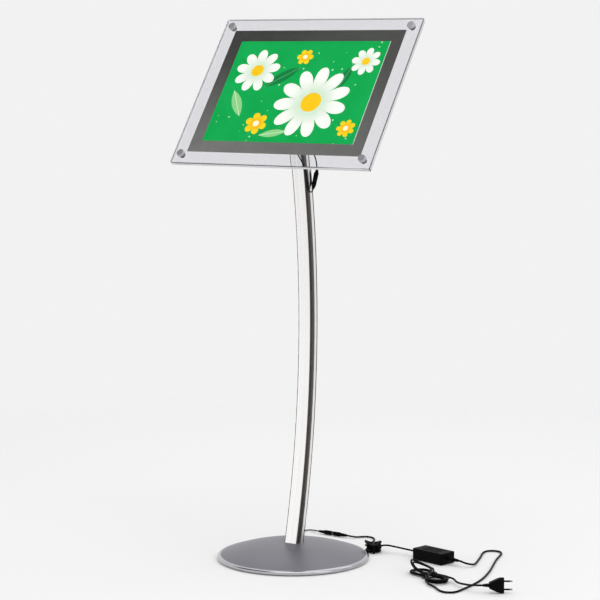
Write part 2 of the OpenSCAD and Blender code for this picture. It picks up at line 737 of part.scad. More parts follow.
module tilt_bracket() {
    plate_z = pivot_gap - bracket_t;
    color("darkgray") at_pivot() difference() {
        union() {
            translate([0, plate_low + bracket_h / 2, plate_z])
                linear_extrude(bracket_t) rounded(bracket_w, bracket_h, 8);
            translate([-tongue_t / 2, 0, 0]) rotate([90, 0, 90]) linear_extrude(tongue_t) {
                circle(r = knuckle_r);
                polygon([[-knuckle_r, 0], [knuckle_r, 0],
                         [knuckle_r * 1.8, plate_z + fit], [-knuckle_r * 1.8, plate_z + fit]]);
            }
        }
        translate([-bracket_w, 0, 0]) rotate([0, 90, 0]) cylinder(d = pivot_d + 2 * fit, h = 2 * bracket_w);
        for (x = [-1, 1], y = [screw_low, screw_high]) translate([x * screw_dx, y, plate_z - cut])
            cylinder(d = screw_d + 2 * fit, h = bracket_t + 2 * cut);
    }
}

module bracket_screws() {
    color("silver") at_pivot() for (x = [-1, 1], y = [screw_low, screw_high])
        translate([x * screw_dx, y, pivot_gap + floor_z - fit]) rotate([180, 0, 0]) {
            cylinder(d1 = screw_head_d, d2 = screw_d, h = screw_head_h);
            cylinder(d = screw_d, h = floor_z + bracket_t - fit);
        }
}

module back_plate() {
    color("white", 0.4) difference() {
        in_panel() difference() {
            slab(panel_w, panel_h, back_t, corner_r, edge_c);
            translate([0, 0, back_t - rebate_t]) linear_extrude(rebate_t + cut)
                square([mask_w + 2 * drop_fit, mask_h + 2 * drop_fit], center = true);
            translate([0, 0, floor_z]) linear_extrude(back_t) square([pocket_w, pocket_h], center = true);
            translate([gland_x - led_wire_d, -pocket_h / 2, floor_z - led_wire_d - fit])
                cube([2 * led_wire_d, pocket_h, led_wire_d + cut]);
            translate([gland_x, gland_y, -cut]) cylinder(d = gland_neck_d + 2 * fit, h = back_t);
            at_corners() translate([0, 0, -cut]) cylinder(d = bush_d + 2 * fit, h = back_t + 2 * cut);
        }
        at_pivot() for (x = [-1, 1], y = [screw_low, screw_high]) translate([x * screw_dx, y, pivot_gap]) {
            translate([0, 0, -cut]) cylinder(d = screw_d + 2 * fit, h = back_t);
            translate([0, 0, floor_z - fit - screw_head_h])
                cylinder(d1 = screw_d + 2 * fit, d2 = screw_head_d + 2 * fit, h = screw_head_h);
            translate([0, 0, floor_z - fit - fit]) cylinder(d = screw_head_d + 2 * fit, h = cut);
        }
    }
}

module corner_bushes() {
    color("goldenrod") in_panel() at_corners() difference() {
        union() {
            translate([0, 0, -bush_flange_t]) cylinder(d = bush_flange_d, h = bush_flange_t);
            translate([0, 0, -bush_flange_t]) cylinder(d = bush_d, h = back_t + bush_flange_t);
        }
        translate([0, 0, -back_t]) cylinder(d = cap_shank_d + 2 * fit, h = 3 * back_t);
    }
}

module lead_gland() {
    color("black") in_panel() translate([gland_x, gland_y, 0]) difference() {
        union() {
            translate([0, 0, -2]) cylinder(d = gland_d, h = 2);
            rotate([180, 0, 0]) relief(gland_d - 2, lead_d + 2.4, gland_l, 3);
            translate([0, 0, -cut]) cylinder(d = gland_neck_d, h = floor_z - led_wire_d - fit + cut);
        }
        translate([0, 0, -gland_l - cut]) cylinder(d = lead_d + 2 * fit, h = gland_l + back_t);
    }
}

module reflector() {
    color("white") in_panel() translate([0, 0, floor_z]) linear_extrude(reflector_t)
        square([pocket_w - 2 * drop_fit, guide_h], center = true);
}

module light_guide() {
    color("lightcyan", 0.5) in_panel() translate([0, 0, floor_z + reflector_t]) linear_extrude(guide_t)
        square([pocket_w - 2 * drop_fit, guide_h], center = true);
}

module led_boards() {
    color("white") in_panel() for (y = [-1, 1])
        translate([0, y * (pocket_h / 2 - drop_fit - board_t / 2), floor_z + board_w / 2])
            cube([pocket_w - 2 * drop_fit, board_t, board_w], center = true);
}

module led_chips() {
    pitch = pocket_w / led_count;
    color("lightyellow") in_panel() for (y = [-1, 1], k = [0:led_count - 1])
        translate([(k - (led_count - 1) / 2) * pitch,
                   y * (pocket_h / 2 - drop_fit - board_t - chip_t / 2), floor_z + board_w / 2])
            cube([chip_l, chip_t, chip_w], center = true);
}

module led_wire() {
    reach = pocket_h - 2 * drop_fit;
    color("red") in_panel() translate([gland_x, 0, floor_z - led_wire_d / 2]) {
        translate([0, reach / 2, 0]) rotate([90, 0, 0]) cylinder(d = led_wire_d, h = reach);
        translate([0, gland_y, -floor_z - gland_l + led_wire_d / 2])
            cylinder(d = lead_d, h = floor_z + gland_l - led_wire_d);
        translate([0, gland_y, -led_wire_d]) cylinder(d = led_wire_d, h = led_wire_d);
    }
}

module diffuser() {
    color("whitesmoke") in_panel() translate([0, 0, floor_z + reflector_t + guide_t])
        linear_extrude(diffuser_t)
        square([pocket_w - 2 * drop_fit, guide_h], center = true);
}

module picture_sheet() {
    color("mediumseagreen") in_panel() translate([0, 0, floor_z + stack_t - picture_t])
        linear_extrude(picture_t)
        square([sheet_w, sheet_h], center = true);
}

module front_cover() {
    color("azure", 0.3) in_panel() translate([0, 0, cover_z]) difference() {
        slab(panel_w, panel_h, front_t, corner_r, edge_c);
        at_corners() translate([0, 0, -cut]) cylinder(d = cap_shank_d + 2 * move_fit, h = front_t + 2 * cut);
    }
}

module border_mask() {
    color("dimgray") in_panel() translate([0, 0, cover_z - mask_t]) linear_extrude(mask_t) difference() {
        square([mask_w, mask_h], center = true);
        square([view_w, view_h], center = true);
    }
}

module cap_washers() {
    color("white") in_panel() at_corners() translate([0, 0, front_z])
        washer(cap_d - 4, cap_shank_d + 2 * move_fit, cap_washer_t);
}

// Turned cap with its screw shank, at one corner
module cap(x, y) {
    color("silver") in_panel() translate([x * cap_x, y * cap_y, cap_seat]) {
        rotate_extrude() round_top(cap_d / 2, cap_h, cap_edge);
        translate([0, 0, 1 - cap_seat]) cylinder(d = cap_shank_d, h = cap_seat);
    }
}

module cap_tl() {
    cap(-1, 1);
}

module cap_tr() {
    cap(1, 1);
}

module cap_bl() {
    cap(-1, -1);
}

module cap_br() {
    cap(1, -1);
}

module panel_lead() {
    color("black") tube(panel_lead_pts, lead_d);
}

module post_lead() {
    color("black") tube(post_lead_pts, lead_d);
}

module lead_plug() {
    half = norm(lead_end - lead_top) / 2;
    color("black") translate(lead_top) aim(lead_end - lead_top) {
        translate([0, 0, grip_l]) rotate_extrude() round_top(5.2, half - grip_l, 0.8);
        translate([0, 0, grip_l]) rotate([180, 0, 0]) relief(9.8, lead_d + 3, grip_l, 2);
    }
}

module lead_socket() {
    half = norm(lead_end - lead_top) / 2;
    color("black") translate(lead_end) aim(lead_top - lead_end) {
        translate([0, 0, grip_l]) cylinder(r = 5.6, h = half - grip_l);
        translate([0, 0, grip_l]) rotate([180, 0, 0]) relief(9.8, lead_d + 3, grip_l, 2);
    }
}

module foot_lead() {
    color("black") tube(foot_lead_pts, lead_d);
}

barrel_d = 5.5;
barrel_show = 4.4;
barrel_grip = 9;
socket_l = norm(plug_pt - socket_pt) / 2 - barrel_show / 2;

module dc_socket() {
    color("black") translate(socket_pt) aim(plug_pt - socket_pt) difference() {
        union() {
            translate([0, 0, socket_l / 2]) rotate_extrude() round_top(5.4, socket_l / 2, 0.8);
            translate([0, 0, socket_l / 2]) rotate([180, 0, 0]) relief(9, lead_d + 2.4, socket_l / 2, 4);
        }
        translate([0, 0, socket_l - barrel_grip - drop_fit])
            cylinder(d = barrel_d + 2 * fit, h = barrel_grip + cut);
    }
}

module dc_barrel() {
    color("silver") translate(socket_pt) aim(plug_pt - socket_pt) translate([0, 0, socket_l - barrel_grip])
        cylinder(d = barrel_d, h = barrel_grip + barrel_show);
}

module dc_plug() {
    color("black") translate(plug_pt) aim(socket_pt - plug_pt) {
        translate([0, 0, socket_l / 2]) rotate_extrude() round_top(5.2, socket_l / 2, 0.8);
        translate([0, 0, socket_l / 2]) rotate([180, 0, 0]) relief(9, dc_d + 2.4, socket_l / 2, 4);
    }
}

module dc_cable_first() {
    color("black") tube(dc_first_pts, dc_d);
}

module dc_coil() {
    color("black") tube(coil_pts, dc_d, 6);
}

module dc_cable_last() {
    color("black") tube(dc_last_pts, dc_d);
}

module coil_tie() {
    fanned = (coil_rise - coil_waist) * pow(tie_w / (2 * coil_r), 2);
    deep = 2 * (coil_r + coil_step * (coil_rounds - coil_full)) + dc_d + 2 * tie_fit;
    tall = (coil_waist + fanned) * (coil_layers - 1) + dc_d + 2 * tie_fit;
    color("dimgray") translate([coil_at.x, coil_at.y, coil_low - dc_d / 2 - tie_fit + tall / 2])
        rotate(coil_lobe + 90) translate([0, tie_w / 2, 0]) rotate([90, 0, 0]) linear_extrude(tie_w)
            difference() {
                rounded(deep + 2 * tie_t, tall + 2 * tie_t, 2.5 + tie_t);
                rounded(deep, tall, 2.5);
            }
}

module mains_cable_first() {
    color("black") tube(mains_first_pts, mains_d);
}

module mains_hank() {
    color("black") tube(hank_pts, mains_d, 6);
}

module mains_cable_last() {
    color("black") tube(mains_last_pts, mains_d);
}

module hank_tie() {
    wide = 2 * (hank_w + hank_step * (hank_turns - hank_back) - hank_draw) + mains_d + 2 * tie_fit;
    tall = hank_rise + mains_d + 2 * tie_fit;
    color("dimgray") translate([hank_at.x, hank_at.y, hank_low + hank_rise / 2]) rotate(hank_turn)
        translate([-tie_w / 2, 0, 0]) rotate([90, 0, 90]) linear_extrude(tie_w) difference() {
            rounded(wide + 2 * tie_t, tall + 2 * tie_t, 3 + tie_t);
            rounded(wide, tall, 3);
        }
}

// Frame of the adapter's middle on the floor, with +X to the mains end
module at_adapter() {
    translate([adapter_at.x, adapter_at.y, adapter_lift]) rotate(adapter_turn) children();
}

adapter_c = 3;
adapter_r = 5;
lid_h = adapter_h / 2;
vent_count = 9;
vent_l = 34;
vent_w = 2.6;
vent_gap = 6;
vent_deep = 1;

// Outside of the adapter, with its long upper and lower edges chamfered
module adapter_form() {
    intersection() {
        linear_extrude(adapter_h) rounded(adapter_l, adapter_w, adapter_r);
        translate([-adapter_l / 2, 0, 0]) rotate([90, 0, 90]) linear_extrude(adapter_l)
            chamfered(adapter_w, adapter_h, adapter_c);
        translate([0, adapter_w / 2, 0]) rotate([90, 0, 0]) linear_extrude(adapter_w)
            chamfered(adapter_l, adapter_h, adapter_c / 2);
    }
}

// Hollow of the adapter and the seats of its two reliefs
module adapter_hollow() {
    translate([0, 0, adapter_wall]) linear_extrude(adapter_h - 2 * adapter_wall)
        rounded(adapter_l - 2 * adapter_wall - 2 * adapter_c,
                adapter_w - 2 * adapter_wall - 2 * adapter_c, adapter_r - adapter_wall);
    translate([-adapter_l, 0, adapter_h / 2]) rotate([0, 90, 0])
        cylinder(d = relief_neck_d + 2 * fit, h = 2 * adapter_l);
}

module adapter_base() {
    color("black") at_adapter() difference() {
        intersection() {
            adapter_form();
            translate([-adapter_l, -adapter_w, 0]) cube([2 * adapter_l, 2 * adapter_w, adapter_h - lid_h]);
        }
        adapter_hollow();
    }
}

module adapter_lid() {
    color("black") at_adapter() difference() {
        intersection() {
            adapter_form();
            translate([-adapter_l, -adapter_w, adapter_h - lid_h])
                cube([2 * adapter_l, 2 * adapter_w, lid_h + cut]);
        }
        adapter_hollow();
        for (k = [0:vent_count - 1])
            translate([vent_gap * (k - (vent_count - 1) / 2), 0, adapter_h - vent_deep])
                translate([-vent_w / 2, -vent_l / 2, 0]) cube([vent_w, vent_l, vent_deep + cut]);
    }
}

module adapter_board() {
    board_l = adapter_l - 2 * adapter_wall - 2 * adapter_c - 2 * drop_fit;
    board_d = adapter_w - 2 * adapter_wall - 2 * adapter_c - 2 * drop_fit;
    color("darkgreen") at_adapter() translate([0, 0, adapter_wall]) {
        linear_extrude(1.6) rounded(board_l, board_d, adapter_r - adapter_wall);
        translate([0, 0, 1]) linear_extrude(5.6) square([board_l * 0.6, board_d * 0.6], center = true);
    }
}

relief_neck_d = 8;
relief_neck_l = adapter_wall + adapter_c;

// Strain relief on one end of the adapter, along +X
module adapter_relief(d, l, rings) {
    rotate([0, 90, 0]) {
        relief(11, d + 2, l, rings);
        translate([0, 0, -relief_neck_l]) cylinder(d = relief_neck_d, h = relief_neck_l + cut);
    }
}

module dc_relief() {
    color("black") at_adapter() translate([-adapter_l / 2, 0, adapter_h / 2]) rotate(180)
        adapter_relief(dc_d, dc_relief_l, 2);
}

module mains_relief() {
    color("black") at_adapter() translate([adapter_l / 2, 0, adapter_h / 2])
        adapter_relief(mains_d, mains_relief_l, 5);
}

// Frame of the mains plug, with +X from the cable to the pins and +Y up
module at_plug() {
    translate(plug_at) rotate(plug_turn) rotate([90, 0, 0]) children();
}

plug_relief_l = 14;
plug_neck = 12;
plug_face_l = 9;

module plug_body() {
    half = plug_h / 2;
    bevel = 3.4;
    color("black") at_plug() {
        translate([plug_relief_l, 0, 0]) rotate([0, -90, 0]) relief(9.6, mains_d + 2, plug_relief_l, 4);
        intersection() {
            translate([0, 0, -plug_t / 2]) linear_extrude(plug_t)
                polygon([[plug_relief_l - cut, -plug_neck / 2], [plug_l - plug_face_l, -half],
                         [plug_l, -half],
                         [plug_l, half], [plug_l - plug_face_l, half], [plug_relief_l - cut, plug_neck / 2]]);
            translate([0, 0, 0]) rotate([90, 0, 90]) linear_extrude(plug_l)
                polygon([[-half, -bevel], [-half + bevel, -plug_t / 2], [half - bevel, -plug_t / 2],
                         [half, -bevel],
                         [half, bevel], [half - bevel, plug_t / 2],
                         [-half + bevel, plug_t / 2], [-half, bevel]]);
        }
    }
}

module plug_pins() {
    color("silver") at_plug() for (y = [-1, 1]) translate([plug_l, y * pin_gap / 2, 0]) rotate([0, 90, 0])
        rotate_extrude() round_top(pin_d / 2, pin_l, 0.8);
}

base_cover();
base_weight();
base_pad();
base_hub();
base_bolts();
base_washers();
post();
post_foot();
foot_screws();
foot_grommet();
top_grommet();
post_wire();
post_head();
head_screws();
pivot_bolt();
pivot_nut();
friction_washers();
tilt_bracket();
bracket_screws();
back_plate();
corner_bushes();
lead_gland();
reflector();
light_guide();
led_boards();
led_chips();
led_wire();
diffuser();
picture_sheet();
front_cover();
border_mask();
cap_washers();
cap_tl();
cap_tr();
cap_bl();
cap_br();
panel_lead();
lead_plug();
lead_socket();
post_lead();
foot_lead();
dc_socket();
dc_barrel();
dc_plug();
dc_cable_first();
dc_coil();
coil_tie();
dc_cable_last();
adapter_base();
adapter_lid();
adapter_board();
dc_relief();
mains_relief();
mains_cable_first();
mains_hank();
hank_tie();
mains_cable_last();
plug_body();
plug_pins();
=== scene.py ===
# Looks of the LED menu stand, in metres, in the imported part's own frame
import json
import math

import bpy
import numpy as np
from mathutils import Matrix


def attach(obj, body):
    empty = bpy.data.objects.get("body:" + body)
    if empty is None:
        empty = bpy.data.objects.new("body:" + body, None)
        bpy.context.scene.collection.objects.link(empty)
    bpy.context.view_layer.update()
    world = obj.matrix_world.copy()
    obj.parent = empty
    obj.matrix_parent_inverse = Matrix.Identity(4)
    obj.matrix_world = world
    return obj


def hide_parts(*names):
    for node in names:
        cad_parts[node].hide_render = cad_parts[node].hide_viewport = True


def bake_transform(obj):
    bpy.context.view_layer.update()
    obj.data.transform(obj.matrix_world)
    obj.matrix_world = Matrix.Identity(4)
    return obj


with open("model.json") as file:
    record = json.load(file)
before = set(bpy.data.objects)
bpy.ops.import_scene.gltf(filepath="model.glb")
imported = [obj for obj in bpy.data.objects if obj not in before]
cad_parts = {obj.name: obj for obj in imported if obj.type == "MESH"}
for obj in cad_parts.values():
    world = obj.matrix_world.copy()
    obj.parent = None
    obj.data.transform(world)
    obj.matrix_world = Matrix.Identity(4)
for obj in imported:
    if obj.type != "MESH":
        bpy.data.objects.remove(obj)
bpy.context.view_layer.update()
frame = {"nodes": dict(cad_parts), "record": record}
nodes = frame["nodes"]
scene = bpy.context.scene
scene.view_settings.view_transform = "Standard"

# the photograph's camera stands to the front right, just above the panel's middle
photoCamera = {"place": (2.6480, -4.1935, 1.1948), "azimuth": 32.08, "pitch": 6.66, "lens": 128.2, "sensor": 36.0,
               "sees": 80}


def makeCamera(c):
    data = bpy.data.cameras.new("photoCamera")
    data.lens, data.sensor_width, data.clip_end = c["lens"], c["sensor"], c["sees"]
    eye = bpy.data.objects.new("photoCamera", data)
    eye.location = c["place"]
    eye.rotation_euler = (math.radians(90 - c["pitch"]), 0, math.radians(c["azimuth"]))
    scene.collection.objects.link(eye)
    scene.camera = eye


makeCamera(photoCamera)
print("camera placed")


# small tools for materials

smooth = {"interpolation_type": "SMOOTHSTEP"}  # Map Range: sockets 1, 2 go to 3, 4 with eased ends
colours = {"data_type": "RGBA", "out": 2}  # Mix: colours on sockets 6 and 7


def linear(code):  # sRGB hex to linear light
    s = np.array([int(code[i:i + 2], 16) for i in (0, 2, 4)]) / 255
    return (*(float(v) for v in np.where(s > 0.04045, ((s + 0.055) / 1.055) ** 2.4, s / 12.92)), 1.0)


def addNode(tree, kind, sockets=None, out=0, **settings):  # gives back one output, or the node when out is None
    node = tree.nodes.new("ShaderNode" + kind)
    for key, value in settings.items():
        setattr(node, key, value)
    for key, value in (sockets or {}).items():
        if isinstance(value, bpy.types.NodeSocket):
            tree.links.new(value, node.inputs[key])
        else:
            node.inputs[key].default_value = value
    return node if out is None else node.outputs[out]


def newFinish(name, **sockets):
    finish = bpy.data.materials.new(name)
    finish.use_nodes = True
    tree = finish.node_tree
    tree.nodes.clear()
    shader = addNode(tree, "BsdfPrincipled", {key.replace("_", " "): value for key, value in sockets.items()}, None)
    addNode(tree, "OutputMaterial", {"Surface": shader.outputs[0]}, None)
    return finish, tree, shader


def give(tree, shader, **outputs):
    for key, value in outputs.items():
        tree.links.new(value, shader.inputs[key.replace("_", " ")])


# a surface of two close tones in blotches, with the gloss and the relief following finer grain
def grainyFinish(name, tones, blotchMm, grainMm, rough, depthMm, **sockets):
    finish, tree, shader = newFinish(name, **sockets)
    where = addNode(tree, "TexCoord", out="Object")
    blotch = addNode(tree, "TexNoise", {"Vector": where, "Scale": 1000 / blotchMm, "Detail": 3.0, "Roughness": 0.55})
    grain = addNode(tree, "TexNoise", {"Vector": where, "Scale": 1000 / grainMm, "Detail": 2.0, "Roughness": 0.55})
    share = addNode(tree, "MapRange", {0: blotch, 1: 0.3, 2: 0.7}, **smooth)
    give(tree, shader,
         Base_Color=addNode(tree, "Mix", {0: share, 6: linear(tones[0]), 7: linear(tones[1])}, **colours),
         Roughness=addNode(tree, "MapRange", {0: grain, 1: 0.25, 2: 0.75, 3: rough[0], 4: rough[1]}, **smooth),
         Normal=addNode(tree, "Bump", {"Distance": depthMm / 1000, "Height": grain}))
    return finish


# finishes of the stand

# the flake is really some hundredths of a millimetre across, and is drawn this coarse to show
lacquer = {"tones": ("6c6a73", "77767e"), "cloud": "727079", "rim": "b8b8bc", "rimFrom": (0.1712, 0.1722), "metal": 0.25,
           "rough": (0.40, 0.50), "polish": 0.30, "ringMm": 2.4, "flakeMm": 0.45, "cloudMm": 60, "reliefMm": 0.006}


# spun steel sprayed with silver lacquer: an even satin grey with faint flake and spinning rings, and a rim left
# polished, whose lighter tone is in part a painted highlight
def sprayedSilver(s):
    finish, tree, shader = newFinish("silverLacquerSprayedOnSpunSteel", Coat_Weight=0.2, Coat_Roughness=0.25)
    where = addNode(tree, "TexCoord", out="Object")
    level = addNode(tree, "VectorMath", {0: where, 1: (1, 1, 0)}, operation="MULTIPLY")
    reach = addNode(tree, "VectorMath", {0: level}, "Value", operation="LENGTH")
    turned = addNode(tree, "CombineXYZ", {0: reach})
    rings = addNode(tree, "TexNoise", {"Vector": turned, "Scale": 1000 / s["ringMm"], "Detail": 2.0, "Roughness": 0.55})
    flake = addNode(tree, "TexNoise", {"Vector": where, "Scale": 1000 / s["flakeMm"], "Detail": 1.0, "Roughness": 0.55})
    cloud = addNode(tree, "TexNoise", {"Vector": where, "Scale": 1000 / s["cloudMm"], "Detail": 2.0, "Roughness": 0.55})
    share = addNode(tree, "MapRange", {0: flake, 1: 0.35, 2: 0.7}, **smooth)
    tone = addNode(tree, "Mix", {0: share, 6: linear(s["tones"][0]), 7: linear(s["tones"][1])}, **colours)
    share = addNode(tree, "MapRange", {0: cloud, 1: 0.35, 2: 0.7, 4: 0.5}, **smooth)
    tone = addNode(tree, "Mix", {0: share, 6: tone, 7: linear(s["cloud"])}, **colours)
    # the rim's lighter tone is polish, and in part a painted highlight along the bead
    rim = addNode(tree, "MapRange", {0: reach, 1: s["rimFrom"][0], 2: s["rimFrom"][1]}, **smooth)
    rough = addNode(tree, "MapRange", {0: rings, 1: 0.3, 2: 0.7, 3: s["rough"][0], 4: s["rough"][1]}, **smooth)
    relief = addNode(tree, "Math", {0: rings, 1: flake}, operation="ADD")
    give(tree, shader,
         Base_Color=addNode(tree, "Mix", {0: rim, 6: tone, 7: linear(s["rim"])}, **colours),
         Metallic=addNode(tree, "MapRange", {0: rim, 3: s["metal"]}, **smooth),
         Roughness=addNode(tree, "Math", {0: rim, 1: -s["polish"], 2: rough}, operation="MULTIPLY_ADD"),
         Normal=addNode(tree, "Bump", {"Distance": s["reliefMm"] / 1000, "Height": relief}))
    return finish


# bands on the post are measured sideways from its middle, and backwards from the bow's arc; the dark tones in the
# flutes and along the edges are painted shade; die lines are really finer than half a millimetre, and are drawn this
# coarse to show
anodised = {"arc": (0, -2.144526, 0.560), "radius": 2.212, "side": (0.0142, 0.0162), "front": (-0.0140, -0.0130),
            "flute": (0.0000, 0.0026), "rear": (0.0094, 0.0106), "pale": ("f2f0ef", "fbf9f8"), "paintedShade": "6a6764",
            "edge": "42403f", "grazing": "1c1d1f", "rough": (0.20, 0.30), "dullRough": 0.15, "lineMm": 0.5, "broadMm": 5,
            "drawn": 0.006, "reliefMm": 0.004}


# extruded aluminium, polished and clear anodised: pale drawn lines up the post, and painted shade, a little rougher, in
# the flutes and along the edges
def drawnAnodised(s):
    finish, tree, shader = newFinish("aluminiumExtrudedAndClearAnodised", Metallic=1.0,
                                     Specular_Tint=linear(s["grazing"]))
    offset = addNode(tree, "VectorMath", {0: addNode(tree, "TexCoord", out="Object"), 1: s["arc"]}, operation="SUBTRACT")
    part = addNode(tree, "SeparateXYZ", {0: offset}, None)
    upright = addNode(tree, "VectorMath", {0: offset, 1: (0, 1, 1)}, operation="MULTIPLY")
    reach = addNode(tree, "VectorMath", {0: upright}, "Value", operation="LENGTH")
    depth = addNode(tree, "Math", {0: reach, 1: s["radius"]}, operation="SUBTRACT")
    along = addNode(tree, "Math", {0: part.outputs[2], 1: s["drawn"]}, operation="MULTIPLY")
    drawn = addNode(tree, "CombineXYZ", {0: part.outputs[0], 1: depth, 2: along})
    lines = addNode(tree, "TexNoise", {"Vector": drawn, "Scale": 1000 / s["lineMm"], "Detail": 3.0, "Roughness": 0.55})
    broad = addNode(tree, "TexNoise", {"Vector": drawn, "Scale": 1000 / s["broadMm"], "Detail": 2.0, "Roughness": 0.55})
    aside = addNode(tree, "Math", {0: part.outputs[0]}, operation="ABSOLUTE")
    side = addNode(tree, "MapRange", {0: aside, 1: s["side"][0], 2: s["side"][1]}, **smooth)
    front = addNode(tree, "MapRange", {0: depth, 1: s["front"][0], 2: s["front"][1], 3: 1, 4: 0}, **smooth)
    flute = addNode(tree, "MapRange", {0: depth, 1: s["flute"][0], 2: s["flute"][1], 3: 1, 4: 0}, **smooth)
    rear = addNode(tree, "MapRange", {0: depth, 1: s["rear"][0], 2: s["rear"][1]}, **smooth)
    # painted shade: the flutes take a dark tone, and the front and rear edges a darker one
    paintedShade, edge = (addNode(tree, "Math", {0: side, 1: addNode(tree, "Math", {0: band, 1: rear}, operation="MAXIMUM")},
                          operation="MULTIPLY") for band in (flute, front))
    share = addNode(tree, "MapRange", {0: broad, 1: 0.3, 2: 0.7}, **smooth)
    tone = addNode(tree, "Mix", {0: share, 6: linear(s["pale"][0]), 7: linear(s["pale"][1])}, **colours)
    tone = addNode(tree, "Mix", {0: paintedShade, 6: tone, 7: linear(s["paintedShade"])}, **colours)
    rough = addNode(tree, "MapRange", {0: lines, 1: 0.3, 2: 0.7, 3: s["rough"][0], 4: s["rough"][1]}, **smooth)
    give(tree, shader,
         Base_Color=addNode(tree, "Mix", {0: edge, 6: tone, 7: linear(s["edge"])}, **colours),
         Roughness=addNode(tree, "Math", {0: paintedShade, 1: s["dullRough"], 2: rough}, operation="MULTIPLY_ADD"),
         Normal=addNode(tree, "Bump", {"Distance": s["reliefMm"] / 1000, "Height": lines}))
    return finish


panelFrame = {"centre": (0, 0.01983, 1.09557), "lean": 53.5}


def panelPlace(tree):  # x across the panel, y up it, z out of it, from the middle of its back
    return addNode(tree, "Mapping", {"Vector": addNode(tree, "TexCoord", out="Object"), "Location": panelFrame["centre"],
                                     "Rotation": (math.radians(panelFrame["lean"]), 0, 0)}, vector_type="TEXTURE")


acrylic = {"half": (0.270, 0.208, 1.0), "cut": (0.0002, 0.0006), "coverFrom": (0.0076, 0.0082), "clear": "fdfdff",
           "plateEdge": "ececf0", "coverEdge": "5c5d61", "edgeClear": 0.3, "edgeRough": 0.35, "rough": 0.012,
           "swirlMm": 90, "reliefMm": 0.02}


# cast acrylic, saw cut: clear with a breath of lavender; the back plate's edge is pale, the thin cover's a grey line
def castAcrylic(s):
    finish, tree, shader = newFinish("acrylicCastAndSawCut", IOR=1.49, Specular_IOR_Level=0.3)
    where, flat = addNode(tree, "TexCoord", out="Object"), panelPlace(tree)
    swirl = addNode(tree, "TexNoise", {"Vector": where, "Scale": 1000 / s["swirlMm"], "Detail": 1.0, "Roughness": 0.55})
    out = addNode(tree, "SeparateXYZ", {0: flat}, 2)
    cover = addNode(tree, "MapRange", {0: out, 1: s["coverFrom"][0], 2: s["coverFrom"][1]}, **smooth)
    folded = addNode(tree, "VectorMath", {0: flat}, operation="ABSOLUTE")
    inside = addNode(tree, "VectorMath", {0: s["half"], 1: folded}, operation="SUBTRACT")
    left = addNode(tree, "SeparateXYZ", {0: inside}, None)
    nearest = addNode(tree, "Math", {0: left.outputs[0], 1: left.outputs[1]}, operation="MINIMUM")
    cut = addNode(tree, "MapRange", {0: nearest, 1: s["cut"][0], 2: s["cut"][1], 3: 1, 4: 0}, **smooth)
    edge = addNode(tree, "Mix", {0: cover, 6: linear(s["plateEdge"]), 7: linear(s["coverEdge"])}, **colours)
    rough = addNode(tree, "MapRange", {0: swirl, 1: 0.3, 2: 0.7, 4: s["rough"]}, **smooth)
    give(tree, shader,
         Base_Color=addNode(tree, "Mix", {0: cut, 6: linear(s["clear"]), 7: edge}, **colours),
         Transmission_Weight=addNode(tree, "MapRange", {0: cut, 3: 1.0, 4: s["edgeClear"]}, **smooth),
         Roughness=addNode(tree, "Math", {0: cut, 1: s["edgeRough"], 2: rough}, operation="MULTIPLY_ADD"),
         Normal=addNode(tree, "Bump", {"Distance": s["reliefMm"] / 1000, "Height": swirl}))
    return finish


# the top and low tones grade the border as a painted reflection
border = {"top": ("4a4c47", "5e5f5a"), "low": ("858682", "797a76"), "cloud": "646563", "across": 0.22, "up": 0.18,
          "glow": 0.38, "rough": (0.5, 0.62), "cloudMm": 25, "speckMm": 0.5}


# ink printed on the inside of a clear film: a soft charcoal border with a little of the panel's light soaking through,
# and a painted reflection, carried by its glow too, that grades it from dark at the top to light at the bottom and a
# little from side to side
def printedBorder(s):
    finish, tree, shader = newFinish("charcoalInkScreenPrintedOnFilm", Specular_IOR_Level=0.2,
                                     Emission_Strength=s["glow"])
    where = addNode(tree, "TexCoord", out="Object")
    part = addNode(tree, "SeparateXYZ", {0: panelPlace(tree)}, None)
    cloud = addNode(tree, "TexNoise", {"Vector": where, "Scale": 1000 / s["cloudMm"], "Detail": 3.0, "Roughness": 0.55})
    speck = addNode(tree, "TexNoise", {"Vector": where, "Scale": 1000 / s["speckMm"], "Detail": 1.0, "Roughness": 0.55})
    # painted reflection: the tone, which also sets the glow, grades from the top tones to the low tones and from left
    # to right
    across = addNode(tree, "MapRange", {0: part.outputs[0], 1: -s["across"], 2: s["across"]}, **smooth)
    paintedReflectionFall = addNode(tree, "MapRange", {0: part.outputs[1], 1: -s["up"], 2: s["up"], 3: 1, 4: 0}, **smooth)
    top, low = (addNode(tree, "Mix", {0: across, 6: linear(s[key][0]), 7: linear(s[key][1])}, **colours)
                for key in ("top", "low"))
    tone = addNode(tree, "Mix", {0: paintedReflectionFall, 6: top, 7: low}, **colours)
    share = addNode(tree, "MapRange", {0: cloud, 1: 0.3, 2: 0.7, 4: 0.25}, **smooth)
    give(tree, shader, Emission_Color=tone,
         Base_Color=addNode(tree, "Mix", {0: share, 6: tone, 7: linear(s["cloud"])}, **colours),
         Roughness=addNode(tree, "MapRange", {0: speck, 1: 0.3, 2: 0.7, 3: s["rough"][0], 4: s["rough"][1]}, **smooth))
    return finish


